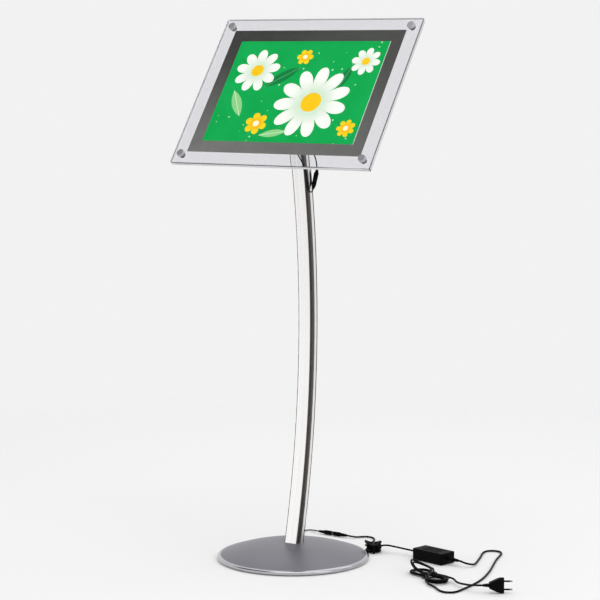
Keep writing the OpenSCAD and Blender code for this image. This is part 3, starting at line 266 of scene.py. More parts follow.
# flowers: middle, radius, petals and turn; leaves: middle, half length, half width and slope
picture = {
    "field": ("04a64c", "0bab52"), "fieldMm": 70, "stops": 0.2036, "bare": "f0f3ee", "glow": 0.58,
    "dots": {"everyMm": 26, "tone": "bfe8c9", "chance": (0.55, 1.0), "largest": 0.10, "edge": 0.02, "cover": 0.85},
    "leaves": [((-0.052, 0.040), 0.050, 0.014, 35), ((-0.150, -0.036), 0.042, 0.013, -60),
               ((0.118, 0.040), 0.034, 0.011, 75), ((-0.020, -0.118), 0.036, 0.010, 10)],
    "leafTones": (("0d7f3e", "5fc07c"), ("8fd08a", "e4f4d6")),
    "daisies": [((0.052, -0.030), 0.098, 11, 0.2), ((-0.128, 0.058), 0.060, 9, 0.5), ((0.158, 0.086), 0.038, 8, 0.1)],
    "daisyTones": ("f5f6ee", "d0e6cd", "f7c815"),
    "buds": [((-0.075, -0.092), 0.030, 6, 0.3), ((-0.010, 0.098), 0.022, 6, 0.0), ((0.170, -0.100), 0.024, 7, 0.4)],
    "budTones": ("fbd51c", "f3b80f", "fdf6cf"),
    "sharp": 0.0004, "petal": (0.4, 0.6, 0.45), "heart": 0.27, "heartSharp": 0.0006, "shade": (0.25, 0.75),
    "vein": (0.0003, 0.0009),
}


# petals reach from 0.4 to 1 radius as the cosine's lobes swell; gives what lies inside, the heart and the petals' shade
def bloomMask(tree, sheet, bloom, s):
    centre, radius, petals, turn = bloom
    local = addNode(tree, "Mapping", {"Vector": sheet, "Location": (*centre, 0), "Rotation": (0, 0, -turn)},
                    vector_type="TEXTURE")
    part = addNode(tree, "SeparateXYZ", {0: local}, None)
    reach = addNode(tree, "VectorMath", {0: local}, "Value", operation="LENGTH")
    angle = addNode(tree, "Math", {0: part.outputs[1], 1: part.outputs[0]}, operation="ARCTAN2")
    wave = addNode(tree, "Math", {0: angle, 1: petals / 2}, operation="MULTIPLY")
    wave = addNode(tree, "Math", {0: addNode(tree, "Math", {0: wave}, operation="COSINE")}, operation="ABSOLUTE")
    shortest, swell, power = s["petal"]
    lobe = addNode(tree, "Math", {0: wave, 1: power}, operation="POWER")
    edge = addNode(tree, "Math", {0: lobe, 1: swell * radius, 2: shortest * radius}, operation="MULTIPLY_ADD")
    within = addNode(tree, "Math", {0: edge, 1: reach}, operation="SUBTRACT")
    inside = addNode(tree, "MapRange", {0: within, 1: -s["sharp"], 2: s["sharp"]}, **smooth)
    core = addNode(tree, "Math", {0: s["heart"] * radius, 1: reach}, operation="SUBTRACT")
    heart = addNode(tree, "MapRange", {0: core, 1: -s["heartSharp"], 2: s["heartSharp"]}, **smooth)
    ratio = addNode(tree, "Math", {0: reach, 1: radius}, operation="DIVIDE")
    shade = addNode(tree, "MapRange", {0: ratio, 1: s["shade"][0], 2: s["shade"][1], 3: 1, 4: 0}, **smooth)
    return inside, heart, shade


# a lens whose width falls with the square of the length, and a thin vein along it
def leafMask(tree, sheet, leaf, s):
    centre, half, wide, degrees = leaf
    slope = math.radians(degrees)
    local = addNode(tree, "Mapping", {"Vector": sheet, "Location": (*centre, 0), "Rotation": (0, 0, slope)},
                    vector_type="TEXTURE")
    part = addNode(tree, "SeparateXYZ", {0: local}, None)
    side = addNode(tree, "Math", {0: part.outputs[1]}, operation="ABSOLUTE")
    square = addNode(tree, "Math", {0: part.outputs[0], 1: part.outputs[0]}, operation="MULTIPLY")
    bow = addNode(tree, "Math", {0: square, 1: -wide / half ** 2, 2: wide}, operation="MULTIPLY_ADD")
    within = addNode(tree, "Math", {0: bow, 1: side}, operation="SUBTRACT")
    body = addNode(tree, "MapRange", {0: within, 1: -s["sharp"], 2: s["sharp"]}, **smooth)
    line = addNode(tree, "MapRange", {0: side, 1: s["vein"][0], 2: s["vein"][1], 3: 1, 4: 0}, **smooth)
    return body, addNode(tree, "Math", {0: body, 1: line}, operation="MULTIPLY")


# inkjet print on film, lit from behind: an even glowing green field with daisies, leaves and small dots
def litPicture(s):
    finish, tree, shader = newFinish("pictureInkjetPrintedOnBacklitFilm", Roughness=0.5, Specular_IOR_Level=0.08,
                                     Emission_Strength=s["glow"])
    flat = panelPlace(tree)
    sheet = addNode(tree, "VectorMath", {0: flat, 1: (1, 1, 0)}, operation="MULTIPLY")
    cloud = addNode(tree, "TexNoise", {"Vector": flat, "Scale": 1000 / s["fieldMm"], "Detail": 2.0, "Roughness": 0.55})
    share = addNode(tree, "MapRange", {0: cloud, 1: 0.3, 2: 0.7}, **smooth)
    ink = addNode(tree, "Mix", {0: share, 6: linear(s["field"][0]), 7: linear(s["field"][1])}, **colours)
    d = s["dots"]  # under half of the cells hold a dot, some larger than others
    cells = addNode(tree, "TexVoronoi", {"Vector": flat, "Scale": 1000 / d["everyMm"]}, None, voronoi_dimensions="2D")
    chance = addNode(tree, "SeparateColor", {0: cells.outputs["Color"]})
    size = addNode(tree, "MapRange", {0: chance, 1: d["chance"][0], 2: d["chance"][1], 4: d["largest"]}, **smooth)
    within = addNode(tree, "Math", {0: size, 1: cells.outputs["Distance"]}, operation="SUBTRACT")
    dots = addNode(tree, "MapRange", {0: within, 2: d["edge"], 4: 1}, **smooth)
    share = addNode(tree, "Math", {0: dots, 1: d["cover"]}, operation="MULTIPLY")
    ink = addNode(tree, "Mix", {0: share, 6: ink, 7: linear(d["tone"])}, **colours)
    for number, leaf in enumerate(s["leaves"]):
        for mask, tone in zip(leafMask(tree, sheet, leaf, s), s["leafTones"][number % 2]):
            ink = addNode(tree, "Mix", {0: mask, 6: ink, 7: linear(tone)}, **colours)
    for blooms, (outer, inner, middle) in ((s["daisies"], s["daisyTones"]), (s["buds"], s["budTones"])):
        for bloom in blooms:
            inside, heart, shade = bloomMask(tree, sheet, bloom, s)
            petals = addNode(tree, "Mix", {0: shade, 6: linear(outer), 7: linear(inner)}, **colours)
            ink = addNode(tree, "Mix", {0: inside, 6: ink, 7: petals}, **colours)
            ink = addNode(tree, "Mix", {0: heart, 6: ink, 7: linear(middle)}, **colours)
    across = addNode(tree, "SeparateXYZ", {0: flat})
    bare = addNode(tree, "Math", {0: across, 1: s["stops"]}, operation="GREATER_THAN")  # bare film at the right
    ink = addNode(tree, "Mix", {0: bare, 6: ink, 7: linear(s["bare"])}, **colours)
    give(tree, shader, Base_Color=ink, Emission_Color=ink)
    return finish


# the tool's rings are really about a tenth of a millimetre apart, and are drawn this coarse to show
cap = {"middle": (0.246, 0.184, 0), "tones": ("aaaaae", "c2c2c6"), "metal": 0.5, "rough": (0.18, 0.32), "ringMm": 0.35,
       "reliefMm": 0.01}


# caps turned on a lathe and clear anodised: fine rings round each cap that catch the light as a spark
def turnedCap(s):
    finish, tree, shader = newFinish("aluminiumTurnedAndClearAnodised", Metallic=s["metal"])
    folded = addNode(tree, "VectorMath", {0: panelPlace(tree)}, operation="ABSOLUTE")
    offset = addNode(tree, "VectorMath", {0: folded, 1: s["middle"]}, operation="SUBTRACT")
    level = addNode(tree, "VectorMath", {0: offset, 1: (1, 1, 0)}, operation="MULTIPLY")
    reach = addNode(tree, "VectorMath", {0: level}, "Value", operation="LENGTH")
    turned = addNode(tree, "CombineXYZ", {0: reach, 1: addNode(tree, "SeparateXYZ", {0: offset}, 2)})
    ring = addNode(tree, "TexNoise", {"Vector": turned, "Scale": 1000 / s["ringMm"], "Detail": 2.0, "Roughness": 0.55})
    share = addNode(tree, "MapRange", {0: ring, 1: 0.3, 2: 0.7}, **smooth)
    give(tree, shader,
         Base_Color=addNode(tree, "Mix", {0: share, 6: linear(s["tones"][0]), 7: linear(s["tones"][1])}, **colours),
         Roughness=addNode(tree, "MapRange", {0: ring, 1: 0.3, 2: 0.7, 3: s["rough"][0], 4: s["rough"][1]}, **smooth),
         Normal=addNode(tree, "Bump", {"Distance": s["reliefMm"] / 1000, "Height": ring}))
    return finish


# the sleeves' middle and half length are measured along the mains pins; scuffs are drawn coarser than real ones to show
contact = {"way": (0.848, 0.530, 0), "sleeve": 0.4745, "half": 0.0075, "metal": ("8a8a8c", "9c9b9a"),
           "sleeveTone": "060607", "rough": (0.16, 0.3), "sleeveRough": 0.25, "shine": (0.5, 0.1), "scuffMm": 0.3}


# brass under bright nickel: cool metal on the barrel and pin tips, and black sleeves moulded over the pins' near half
def sleevedContact(s):
    finish, tree, shader = newFinish("brassNickelPlatedAndSleeved")
    where = addNode(tree, "TexCoord", out="Object")
    along = addNode(tree, "VectorMath", {0: where, 1: s["way"]}, "Value", operation="DOT_PRODUCT")
    sleeve = addNode(tree, "Math", {0: along, 1: s["sleeve"], 2: s["half"]}, operation="COMPARE")
    scuff = addNode(tree, "TexNoise", {"Vector": where, "Scale": 1000 / s["scuffMm"], "Detail": 2.0, "Roughness": 0.55})
    share = addNode(tree, "MapRange", {0: scuff, 1: 0.3, 2: 0.7}, **smooth)
    metal = addNode(tree, "Mix", {0: share, 6: linear(s["metal"][0]), 7: linear(s["metal"][1])}, **colours)
    rough = addNode(tree, "MapRange", {0: scuff, 1: 0.3, 2: 0.7, 3: s["rough"][0], 4: s["rough"][1]}, **smooth)
    give(tree, shader,
         Base_Color=addNode(tree, "Mix", {0: sleeve, 6: metal, 7: linear(s["sleeveTone"])}, **colours),
         Metallic=addNode(tree, "Math", {0: 1, 1: sleeve}, operation="SUBTRACT"),
         Roughness=addNode(tree, "Math", {0: sleeve, 1: s["sleeveRough"], 2: rough}, operation="MULTIPLY_ADD"),
         Specular_IOR_Level=addNode(tree, "MapRange", {0: sleeve, 3: s["shine"][0], 4: s["shine"][1]}, **smooth))
    return finish


# the lines are really about a tenth of a millimetre wide, and are drawn this coarse to show
sheath = {"tones": ("040405", "08080a"), "rough": (0.38, 0.52), "drawn": (0.04, 1, 1), "lineMm": 0.6, "dustMm": 9,
          "reliefMm": 0.03}


# soft PVC drawn over the wires: near black, a dull sheen and faint lines along the length
def drawnSheath(s):
    finish, tree, shader = newFinish("blackPvcDrawnOverWire", Specular_IOR_Level=0.05)
    along = addNode(tree, "UVMap", uv_map="run")
    drawn = addNode(tree, "Mapping", {"Vector": along, "Scale": s["drawn"]})
    lines = addNode(tree, "TexNoise", {"Vector": drawn, "Scale": 1000 / s["lineMm"], "Detail": 2.0, "Roughness": 0.55})
    dust = addNode(tree, "TexNoise", {"Vector": along, "Scale": 1000 / s["dustMm"], "Detail": 3.0, "Roughness": 0.55})
    share = addNode(tree, "MapRange", {0: dust, 1: 0.4, 2: 0.75}, **smooth)
    give(tree, shader,
         Base_Color=addNode(tree, "Mix", {0: share, 6: linear(s["tones"][0]), 7: linear(s["tones"][1])}, **colours),
         Roughness=addNode(tree, "MapRange", {0: lines, 1: 0.3, 2: 0.7, 3: s["rough"][0], 4: s["rough"][1]}, **smooth),
         Normal=addNode(tree, "Bump", {"Distance": s["reliefMm"] / 1000, "Height": lines}))
    return finish


# plainer finishes, with all sizes in millimetres; the grain of the smooth ones is drawn coarser than it is, to show
plainFinishes = {
    # plate cut by flame and oiled: dark, with mill scale in patches
    "raw_steel": {"name": "steelFlameCutAndOiled", "tones": ("54545a", "6b6b70"), "blotchMm": 14, "grainMm": 0.8,
                  "rough": (0.4, 0.6), "depthMm": 0.05, "Metallic": 0.9},
    # rubber pressed in a mould: matt black, slightly chalky
    "pad_rubber": {"name": "rubberCompressionMoulded", "tones": ("151515", "232322"), "blotchMm": 10, "grainMm": 0.6,
                   "rough": (0.7, 0.9), "depthMm": 0.05},
    # aluminium cast in sand and blasted: a fine dull grit
    "cast_aluminium": {"name": "aluminiumCastAndBlasted", "tones": ("8b8c90", "a0a1a4"), "blotchMm": 5, "grainMm": 0.35,
                       "rough": (0.42, 0.6), "depthMm": 0.03, "Metallic": 0.9},
    # fasteners turned and zinc plated: cool grey with a faint yellow cast in places
    "plated_steel": {"name": "steelTurnedAndZincPlated", "tones": ("a5a6aa", "b6b4ad"), "blotchMm": 3, "grainMm": 0.3,
                     "rough": (0.22, 0.38), "depthMm": 0.01, "Metallic": 1.0},
    # black nylon from a smooth mould: a soft, slightly greasy sheen
    "nylon_black": {"name": "nylonBlackMoulded", "tones": ("141414", "202020"), "blotchMm": 4, "grainMm": 0.4,
                    "rough": (0.4, 0.55), "depthMm": 0.01},
    # undyed nylon from a smooth mould: milky white with a soft sheen
    "washer_nylon": {"name": "nylonNaturalMoulded", "tones": ("cfcfca", "dedfda"), "blotchMm": 4, "grainMm": 0.4,
                     "rough": (0.35, 0.5), "depthMm": 0.01},
    # brass turned and dull nickel plated: grey, a little warm where the tool went round
    "bush_brass": {"name": "brassTurnedAndNickelPlated", "tones": ("8d8c8a", "9e9d9a"), "blotchMm": 3, "grainMm": 0.3,
                   "rough": (0.3, 0.45), "depthMm": 0.01, "Metallic": 0.8},
    # soft rubber from a mould: deep black with a waxy bloom
    "gland_rubber": {"name": "rubberInjectionMoulded", "tones": ("080809", "101011"), "blotchMm": 5, "grainMm": 0.5,
                     "rough": (0.5, 0.68), "depthMm": 0.03, "Specular_IOR_Level": 0.05},
    # white coated film: bright and even, with an even glow that is painted light, standing in for the lamps' light on
    # it behind the clear back plate
    "reflector_film": {"name": "filmWhiteCoatedPaintedGlow", "tones": ("eeeeee", "f8f8f8"), "blotchMm": 20, "grainMm": 1.0,
                       "rough": (0.45, 0.6), "depthMm": 0.01, "Emission_Color": linear("f1f2f4"),
                       "Emission_Strength": 0.3},
    # acrylic printed with white dots: pale, and mottled where the dots lie
    "light_guide_acrylic": {"name": "acrylicDotPrinted", "tones": ("e8ecec", "f6f8f8"), "blotchMm": 4, "grainMm": 2.0,
                            "rough": (0.2, 0.4), "depthMm": 0.02},
    # board under white solder mask: off white with a low gloss
    "led_board": {"name": "boardWhiteSolderMask", "tones": ("e4e4e0", "f0f0ec"), "blotchMm": 8, "grainMm": 0.6,
                  "rough": (0.35, 0.5), "depthMm": 0.01},
    # phosphor set in resin: strong yellow, a little glossy
    "led_phosphor": {"name": "phosphorDispensedInResin", "tones": ("f2d24a", "ffe480"), "blotchMm": 1, "grainMm": 0.3,
                     "rough": (0.3, 0.5), "depthMm": 0.01},
    # PVC drawn over thin wire: black with a dull sheen
    "wire_sheath": {"name": "wireBlackPvcSheathed", "tones": ("0a0a0b", "121213"), "blotchMm": 6, "grainMm": 0.6,
                    "rough": (0.4, 0.55), "depthMm": 0.02, "Specular_IOR_Level": 0.05},
    # opal film from an extruder: soft white without a highlight
    "diffuser_film": {"name": "filmOpalExtruded", "tones": ("f0f0ee", "fafaf8"), "blotchMm": 12, "grainMm": 0.8,
                      "rough": (0.5, 0.65), "depthMm": 0.01},
    # glass filled nylon from a spark eroded mould: black, with a pebbled dull sheen
    "connector_plastic": {"name": "nylonGlassFilledMoulded", "tones": ("040405", "08080a"), "blotchMm": 3,
                          "grainMm": 0.35, "rough": (0.42, 0.58), "depthMm": 0.03, "Specular_IOR_Level": 0.05},
    # wire coated with PVC: black and dull, a little scuffed by bending
    "tie_plastic": {"name": "tieWirePvcCoated", "tones": ("08080a", "101012"), "blotchMm": 3, "grainMm": 0.4,
                    "rough": (0.4, 0.55), "depthMm": 0.02, "Specular_IOR_Level": 0.05},
    # polycarbonate from a spark eroded mould: black, finely pebbled, polished a little by handling
    "adapter_shell": {"name": "polycarbonateSparkErodedMoulded", "tones": ("040405", "08080a"), "blotchMm": 18,
                      "grainMm": 0.42, "rough": (0.40, 0.60), "depthMm": 0.05, "Specular_IOR_Level": 0.05},
    # glass cloth in epoxy under green lacquer: mid green, with the weave just felt
    "circuit_board": {"name": "boardGlassEpoxy", "tones": ("2e6b45", "3a7d52"), "blotchMm": 5, "grainMm": 0.6,
                      "rough": (0.4, 0.55), "depthMm": 0.02},
}
finishes = {
    "satin_silver_lacquer": sprayedSilver(lacquer),
    "anodised_aluminium": drawnAnodised(anodised),
    "clear_acrylic": castAcrylic(acrylic),
    "mask_print": printedBorder(border),
    "printed_film": litPicture(picture),
    "turned_cap": turnedCap(cap),
    "plated_contact": sleevedContact(contact),
    "cord_sheath": drawnSheath(sheath),
    **{slot: grainyFinish(**values) for slot, values in plainFinishes.items()},
}
for row in frame["record"]["subparts"]:
    for held in nodes[row["node"]].material_slots:
        held.material = finishes[row["material_slot"]]
print("finishes given:", len(finishes))


# cords

def unit(v):
    return v / np.linalg.norm(v)


# one smooth curve through the points: a natural cubic spline over the chord lengths, cut in even steps
def smoothRoute(points, step):
    p = np.asarray(points, float) / 1000
    h = np.linalg.norm(np.diff(p, axis=0), axis=1)
    t = np.concatenate([[0], np.cumsum(h)])
    n, inner = len(p), np.arange(1, len(p) - 1)
    side, right = np.eye(n), np.zeros((n, 3))
    side[inner, inner - 1], side[inner, inner + 1] = h[:-1], h[1:]
    side[inner, inner] = 2 * (h[:-1] + h[1:])
    right[1:-1] = 6 * ((p[2:] - p[1:-1]) / h[1:, None] - (p[1:-1] - p[:-2]) / h[:-1, None])
    m = np.linalg.solve(side, right)
    q = np.linspace(0, t[-1], int(math.ceil(t[-1] / step)) + 1)
    k = np.clip(np.searchsorted(t, q, side="right") - 1, 0, n - 2)
    a, b, w = (t[k + 1] - q)[:, None], (q - t[k])[:, None], h[k][:, None]
    bent = (m[k] * a ** 3 + m[k + 1] * b ** 3) / (6 * w)
    return bent + (p[k] / w - m[k] * w / 6) * a + (p[k + 1] / w - m[k + 1] * w / 6) * b


def lengthOf(line):
    return float(np.linalg.norm(np.diff(line, axis=0), axis=1).sum())


tube = {"step": 0.0018, "sides": 16, "leaning": (0.31, 0.17, 0.93)}  # no cord starts along the leaning way


# a circle carried along the line: each ring's first axis is the last ring's, turned as little as the bend asks
def carryTube(name, line, diameter, finish):
    sides = tube["sides"]
    ways = np.gradient(line, axis=0)
    ways /= np.linalg.norm(ways, axis=1)[:, None]
    axes = np.zeros_like(line)
    axes[0] = unit(np.cross(ways[0], tube["leaning"]))
    for i in range(1, len(line)):
        axes[i] = unit(axes[i - 1] - (axes[i - 1] @ ways[i]) * ways[i])
    other = np.cross(ways, axes)
    turn = np.linspace(0, 2 * math.pi, sides, endpoint=False)
    spokes = np.cos(turn)[None, :, None] * axes[:, None] + np.sin(turn)[None, :, None] * other[:, None]
    rings = line[:, None] + diameter / 2 * spokes
    i, k = np.meshgrid(np.arange(len(line) - 1), np.arange(sides), indexing="ij")
    after = (k + 1) % sides
    walls = np.stack([i * sides + k, i * sides + after, (i + 1) * sides + after, (i + 1) * sides + k], -1).reshape(-1, 4)
    ends = [list(range(sides - 1, -1, -1)), list(range((len(line) - 1) * sides, len(line) * sides))]
    mesh = bpy.data.meshes.new(name)
    mesh.from_pydata(rings.reshape(-1, 3).tolist(), [], walls.tolist() + ends)
    run = np.concatenate([[0], np.cumsum(np.linalg.norm(np.diff(line, axis=0), axis=1))])
    girth = math.pi * diameter / sides
    corners = ((i, k), (i, k + 1), (i + 1, k + 1), (i + 1, k))
    flat = np.stack([np.stack([run[row], girth * column], -1) for row, column in corners], 2).reshape(-1, 2)
    sheathMap = mesh.uv_layers.new(name="run")
    sheathMap.data.foreach_set("uv", np.concatenate([flat, np.zeros((2 * sides, 2))]).astype(np.float32).ravel())
    mesh.polygons.foreach_set("use_smooth", np.ones(len(mesh.polygons), bool))
    mesh.materials.append(finish)
    piece = bpy.data.objects.new(name, mesh)
    scene.collection.objects.link(piece)
    return piece


def eased(q):
    return (1 - np.cos(math.pi * np.clip(q, 0, 1))) / 2


def beyond(line, reach):  # the point that carries the line straight on past its end
    return line[-1] + reach * unit(line[-1] - line[-2])


def withEnds(p, d):  # a wound path, with a straight end of one diameter before and after it
    return np.vstack([beyond(p[::-1], d), p, beyond(p, d)])


# the winding climbs to the next layer over a half turn
coil = {"centre": (130, 156), "radius": 19.5, "pitch": 4.7, "low": 4.0, "waist": 4.7, "rise": 7.4, "lobe": 32,
        "inLayer": 2, "climb": 0.5, "turns": 8.375, "perTurn": 24, "d": 4.2}


# the coil winds in for two turns and out for two, on four layers: radius falls and grows with the turns, the
# height steps up by one layer where the winding turns back, and layers part with the square of the distance from the tie
def coilPath(c):
    t = np.arange(int(c["turns"] * c["perTurn"]) + 1) / c["perTurn"]
    n = c["inLayer"]
    inward = np.where(t > 4 * n, 4 * n - t, np.abs(np.mod(t + n, 2 * n) - n))
    r, a = c["radius"] - c["pitch"] * inward, np.radians(180 + 360 * t)
    layer = c["waist"] + (c["rise"] - c["waist"]) * (r * np.cos(a - math.radians(c["lobe"])) / c["radius"]) ** 2
    z = c["low"] + layer * sum(eased((t - n * k + c["climb"] / 2) / c["climb"]) for k in (1, 2, 3))
    return withEnds(np.stack([c["centre"][0] + r * np.cos(a), c["centre"][1] + r * np.sin(a), z], -1), c["d"])


# the lowest of the raised loops is rolled up less than the highest, by the share called fan
hank = {"centre": (366, 2), "turn": -37, "run": 45, "wide": 17, "step": 5.6, "draw": 14, "low": 4.2, "rise": 5.2,
        "roll": 27, "fan": 0.3, "climb": 0.25, "turns": 3.75, "back": 1.625, "perTurn": 24, "d": 4.6}


# the hank's loops are two runs drawn in at the tie and two round folds; each loop is wider than the one inside it,
# and at one end the upper loops are turned up round their far edge, more so towards the fold
def hankPath(c):
    t = np.arange(int(c["turns"] * c["perTurn"]) + 1) / c["perTurn"]
    u, w = t - np.floor(t), c["wide"] + c["step"] * np.abs(t - c["back"])
    low, high = 1 - 8 * u, 8 * (u - 0.5) - 1
    left, right = np.radians(270 - 720 * (u - 0.25)), np.radians(90 - 720 * (u - 0.75))
    waist = [c["draw"] * (1 + np.cos(math.pi * q)) / 2 for q in (low, high)]
    parts = [u < 0.25, u < 0.5, u < 0.75]
    x = np.select(parts, [c["run"] * low, -c["run"] + w * np.cos(left), c["run"] * high], c["run"] + w * np.cos(right))
    y = np.select(parts, [-w + waist[0], w * np.sin(left), w - waist[1]], w * np.sin(right))
    up = eased((t - c["back"] + c["climb"] / 2) / c["climb"])
    edge = c["wide"] + c["step"] * (c["turns"] - c["back"])
    fan = 1 - c["fan"] * (c["turns"] - t) / (c["turns"] - c["back"])
    roll = math.radians(c["roll"]) * up * fan * eased(-x / (c["run"] + edge))
    z = c["low"] + c["rise"] * up + (edge - y) * np.sin(roll)
    y = edge - (edge - y) * np.cos(roll)
    a = math.radians(c["turn"])
    return withEnds(np.stack([c["centre"][0] + x * math.cos(a) - y * math.sin(a),
                              c["centre"][1] + x * math.sin(a) + y * math.cos(a), z], -1), c["d"])


adapter = {"at": (296, 151), "turn": -13, "middle": 13.8}


def adapterPoint(x):  # along the adapter's middle line
    a = math.radians(adapter["turn"])
    return (adapter["at"][0] + x * math.cos(a), adapter["at"][1] + x * math.sin(a), adapter["middle"])


# routes in millimetres, the same points as the solids'; a cord enters each connector and relief straight
mainsPlug = {"tail": (533, -55, 17.6), "turn": 32}
leadTop, leadEnd = np.array([23.8, 50.5, 874]), np.array([25.6, 66, 918])
socketEnd, plugEnd = np.array([-84, 254, 5.8]), np.array([-1, 249, 5.8])
upLead, alongPlug = unit(leadEnd - leadTop), unit(plugEnd - socketEnd)
coilLine, hankLine = coilPath(coil), hankPath(hank)
plugTail, plugTurn = np.array(mainsPlug["tail"]), math.radians(mainsPlug["turn"])
plugWay = np.array([math.cos(plugTurn), math.sin(plugTurn), 0])
panelRoute = [
    (-10, -29.44, 1013.85), (-10, -24.617, 1010.281), (-9, -19, 1003), (-5, -10, 990), (0, 0, 974), (7, 9, 957),
    (13.5, 14, 943), (19, 18.5, 929), (20.5, 26, 910), (20.5, 31, 890), (21.2, 36, 872), (22.2, 41, 867),
    (23.2, 45.6, 867), leadTop - 4 * upLead, leadTop]
postRoute = [
    (0, 46.72, 971.22), (0, 52.61, 972.33), (3, 57, 973), (9, 59.5, 970), (15.5, 60, 963), (20.3, 61.5, 953.5),
    (24, 64.5, 942), (25.6, 67, 930), leadEnd + 4 * upLead, leadEnd]
footRoute = [
    (0, 25.84, 50.00), (0, 31.68, 48.62), (-4, 42, 45.5), (-18, 70, 38.8), (-31, 93, 34.8), (-46, 117, 28.2),
    (-60, 139, 20.6), (-72, 158, 13.6), (-84, 177, 7.6), (-96, 196, 3.4), (-110, 220, 2), (-122, 243, 2),
    (-126, 257, 2), (-121, 265.5, 2.2), (-112, 265.5, 3), (-102, 260, 4.6), socketEnd - 6 * alongPlug, socketEnd]
adapterRoute = [
    adapterPoint(-60), adapterPoint(-66), (208, 169.3, 14.4), (190, 169, 15.8), (175, 165.5, 17.8), (163, 158.5, 19.8),
    beyond(coilLine, 8), *coilLine[::-1], beyond(coilLine[::-1], 8), (103, 196, 2.8), (93, 218, 2.4), (81, 242, 2.4),
    (69, 264, 2.4), (57, 276, 2.4), (44, 278, 2.4), (31, 270, 2.6), (19, 256, 3.4), plugEnd + 8 * alongPlug, plugEnd]
mainsRoute = [
    adapterPoint(76), adapterPoint(84), (386.8, 132.4, 11.4), (395.4, 137.2, 8.6), (400.4, 145.8, 6.2),
    (400.8, 156, 4.6), (397.8, 170, 3.5), (391.6, 189, 2.6), (372.5, 247, 2.6), (361.8, 280, 2.6), (362.6, 297, 2.6),
    (375, 308.4, 2.6), (391.5, 307.2, 2.6), (402, 294.5, 2.6), (412, 263, 2.6), (450, 148, 2.6), (471, 78, 2.6),
    (481, 26, 2.6), (484, -24, 2.6), (483.6, -66, 2.6), (481.6, -85, 2.6), (474.4, -96.8, 2.6), (462.6, -101, 2.6),
    (450.4, -98.4, 2.6), (436.5, -88, 2.8), (422, -75.4, 3.2), beyond(hankLine[::-1], 10), *hankLine,
    beyond(hankLine, 8), (447, -22, 8.4), (463, -34, 8.6), (481, -45, 11), (499, -56, 14), (515, -61, 16.6),
    plugTail - 6 * plugWay, plugTail]

cords = {
    "panelLead": {"route": panelRoute, "d": 3.0, "nodes": ["panel_lead"], "end": "connector", "on": ["lead_plug"],
                  "lay": "hanging", "stiff": "limp"},
    "postLead": {"route": postRoute, "d": 3.0, "nodes": ["post_lead"], "end": "connector", "on": ["lead_socket"],
                 "lay": "hanging", "stiff": "limp"},
    "footLead": {"route": footRoute, "d": 3.0, "nodes": ["foot_lead"], "end": "connector", "on": ["dc_socket"],
                 "lay": "loose", "stiff": "limp"},
    "adapterCable": {"route": adapterRoute, "d": coil["d"], "nodes": ["dc_cable_first", "dc_coil", "dc_cable_last"],
                     "end": "connector", "on": ["dc_plug", "dc_barrel", "coil_tie", "dc_relief"],
                     "lay": "coiled", "stiff": "medium"},
    "mainsCable": {"route": mainsRoute, "d": hank["d"], "nodes": ["mains_cable_first", "mains_hank", "mains_cable_last"],
                   "end": "plug", "on": ["plug_body", "plug_pins", "hank_tie", "mains_relief"],
                   "lay": "coiled", "stiff": "medium"},
}
for name, c in cords.items():
    line = smoothRoute(c["route"], tube["step"])
    piece = carryTube(name, line, c["d"] / 1000, finishes["cord_sheath"])
    if name == "panelLead":
        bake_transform(piece)
    else:
        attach(piece, "stand")
    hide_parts(*c["nodes"])
    print("cord laid:", name, round(lengthOf(line), 3), "m")


# floor, light and background

studioFloor = {"tones": ("f5f5f5", "f8f8f8"), "radius": 4.0, "sides": 96, "drop": 0.0004, "fade": (0.9, 2.8),
               "fibreMm": 3}


# pale matt paper: nearly white and without gloss, clear towards its edge so that it runs out into the background
def makeFloor(s):
    turn = np.linspace(0, 2 * math.pi, s["sides"], endpoint=False)
    verts = np.stack([s["radius"] * np.cos(turn), s["radius"] * np.sin(turn), np.full(s["sides"], -s["drop"])], -1)
    mesh = bpy.data.meshes.new("studioFloor")
    mesh.from_pydata(verts.tolist(), [], [list(range(s["sides"]))])
    paper = bpy.data.materials.new("paperPaleMatt")
    paper.use_nodes = True
    tree = paper.node_tree
    tree.nodes.clear()
    where = addNode(tree, "TexCoord", out="Object")
    reach = addNode(tree, "VectorMath", {0: where}, "Value", operation="LENGTH")
    fibre = addNode(tree, "TexNoise", {"Vector": where, "Scale": 1000 / s["fibreMm"], "Detail": 3.0, "Roughness": 0.55})
    share = addNode(tree, "MapRange", {0: fibre, 1: 0.3, 2: 0.7}, **smooth)
    tone = addNode(tree, "Mix", {0: share, 6: linear(s["tones"][0]), 7: linear(s["tones"][1])}, **colours)
    edge = addNode(tree, "MapRange", {0: reach, 1: s["fade"][0], 2: s["fade"][1]}, **smooth)
    matt = addNode(tree, "BsdfDiffuse", {"Color": tone})
    mixed = addNode(tree, "MixShader", {0: edge, 1: matt, 2: addNode(tree, "BsdfTransparent")})
    addNode(tree, "OutputMaterial", {"Surface": mixed}, None)
    mesh.materials.append(paper)
    floor = bpy.data.objects.new("studioFloor", mesh)
    scene.collection.objects.link(floor)


# a black flag above the left shoulder keeps the panel's face free of glare
backdrop = {"pale": "f2f2f2", "light": "ffffff", "sky": 0.76, "flagWay": (-0.529, -0.359, 0.769), "flagTone": "3a3a3c",
            "flagEdge": (0.87, 0.96)}


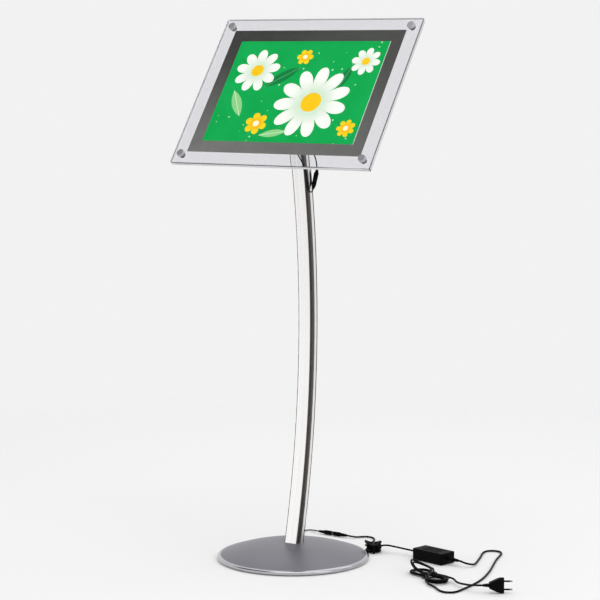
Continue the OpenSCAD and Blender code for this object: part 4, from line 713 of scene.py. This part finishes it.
def makeWorld(s):
    world = bpy.data.worlds.new("paleStudio")
    world.use_nodes = True
    tree = world.node_tree
    tree.nodes.clear()
    ray = addNode(tree, "LightPath", out=None)
    around = addNode(tree, "TexCoord", out="Generated")
    near = addNode(tree, "VectorMath", {0: around, 1: s["flagWay"]}, "Value", operation="DOT_PRODUCT")
    flag = addNode(tree, "MapRange", {0: near, 1: s["flagEdge"][0], 2: s["flagEdge"][1]}, **smooth)
    pale = addNode(tree, "Mix", {0: flag, 6: linear(s["pale"]), 7: linear(s["flagTone"])}, **colours)
    seen = ray.outputs["Is Camera Ray"]
    for kind in ("Is Glossy Ray", "Is Transmission Ray"):
        seen = addNode(tree, "Math", {0: seen, 1: ray.outputs[kind]}, operation="MAXIMUM")
    shown = addNode(tree, "Background", {"Color": pale, "Strength": 1.0})
    light = addNode(tree, "Background", {"Color": linear(s["light"]), "Strength": s["sky"]})
    mixed = addNode(tree, "MixShader", {0: seen, 1: light, 2: shown})
    addNode(tree, "OutputWorld", {"Surface": mixed}, None)
    scene.world = world


lamps = [
    {"name": "leftSoftbox", "place": (-2.1, -3.3, 1.1), "look": (0, 0, 0.55), "size": (1.6, 2.4), "power": 1.8},
    {"name": "rightSoftbox", "place": (3.4, -0.6, 1.6), "look": (0.1, 0, 0.5), "size": (1.4, 1.8), "power": 9},
    {"name": "backStrip", "place": (-0.3, 2.4, 2.9), "look": (0, 0, 0), "size": (4.2, 0.9), "power": 12},
    {"name": "topSoftbox", "place": (0.4, -0.45, 3.6), "look": (0.1, 0.1, 0.3), "size": (2.8, 2.8), "power": 28},
]


def makeLamp(s):
    data = bpy.data.lights.new(s["name"], "AREA")
    data.shape, data.size, data.size_y, data.energy = "RECTANGLE", *s["size"], s["power"]
    lamp = bpy.data.objects.new(s["name"], data)
    lamp.location = s["place"]
    way = np.array(s["look"]) - np.array(s["place"])
    lamp.rotation_euler = (math.atan2(np.hypot(way[0], way[1]), -way[2]), 0, math.atan2(-way[0], way[1]))
    scene.collection.objects.link(lamp)


makeFloor(studioFloor)
makeWorld(backdrop)
for lamp in lamps:
    makeLamp(lamp)
print("studio lit")
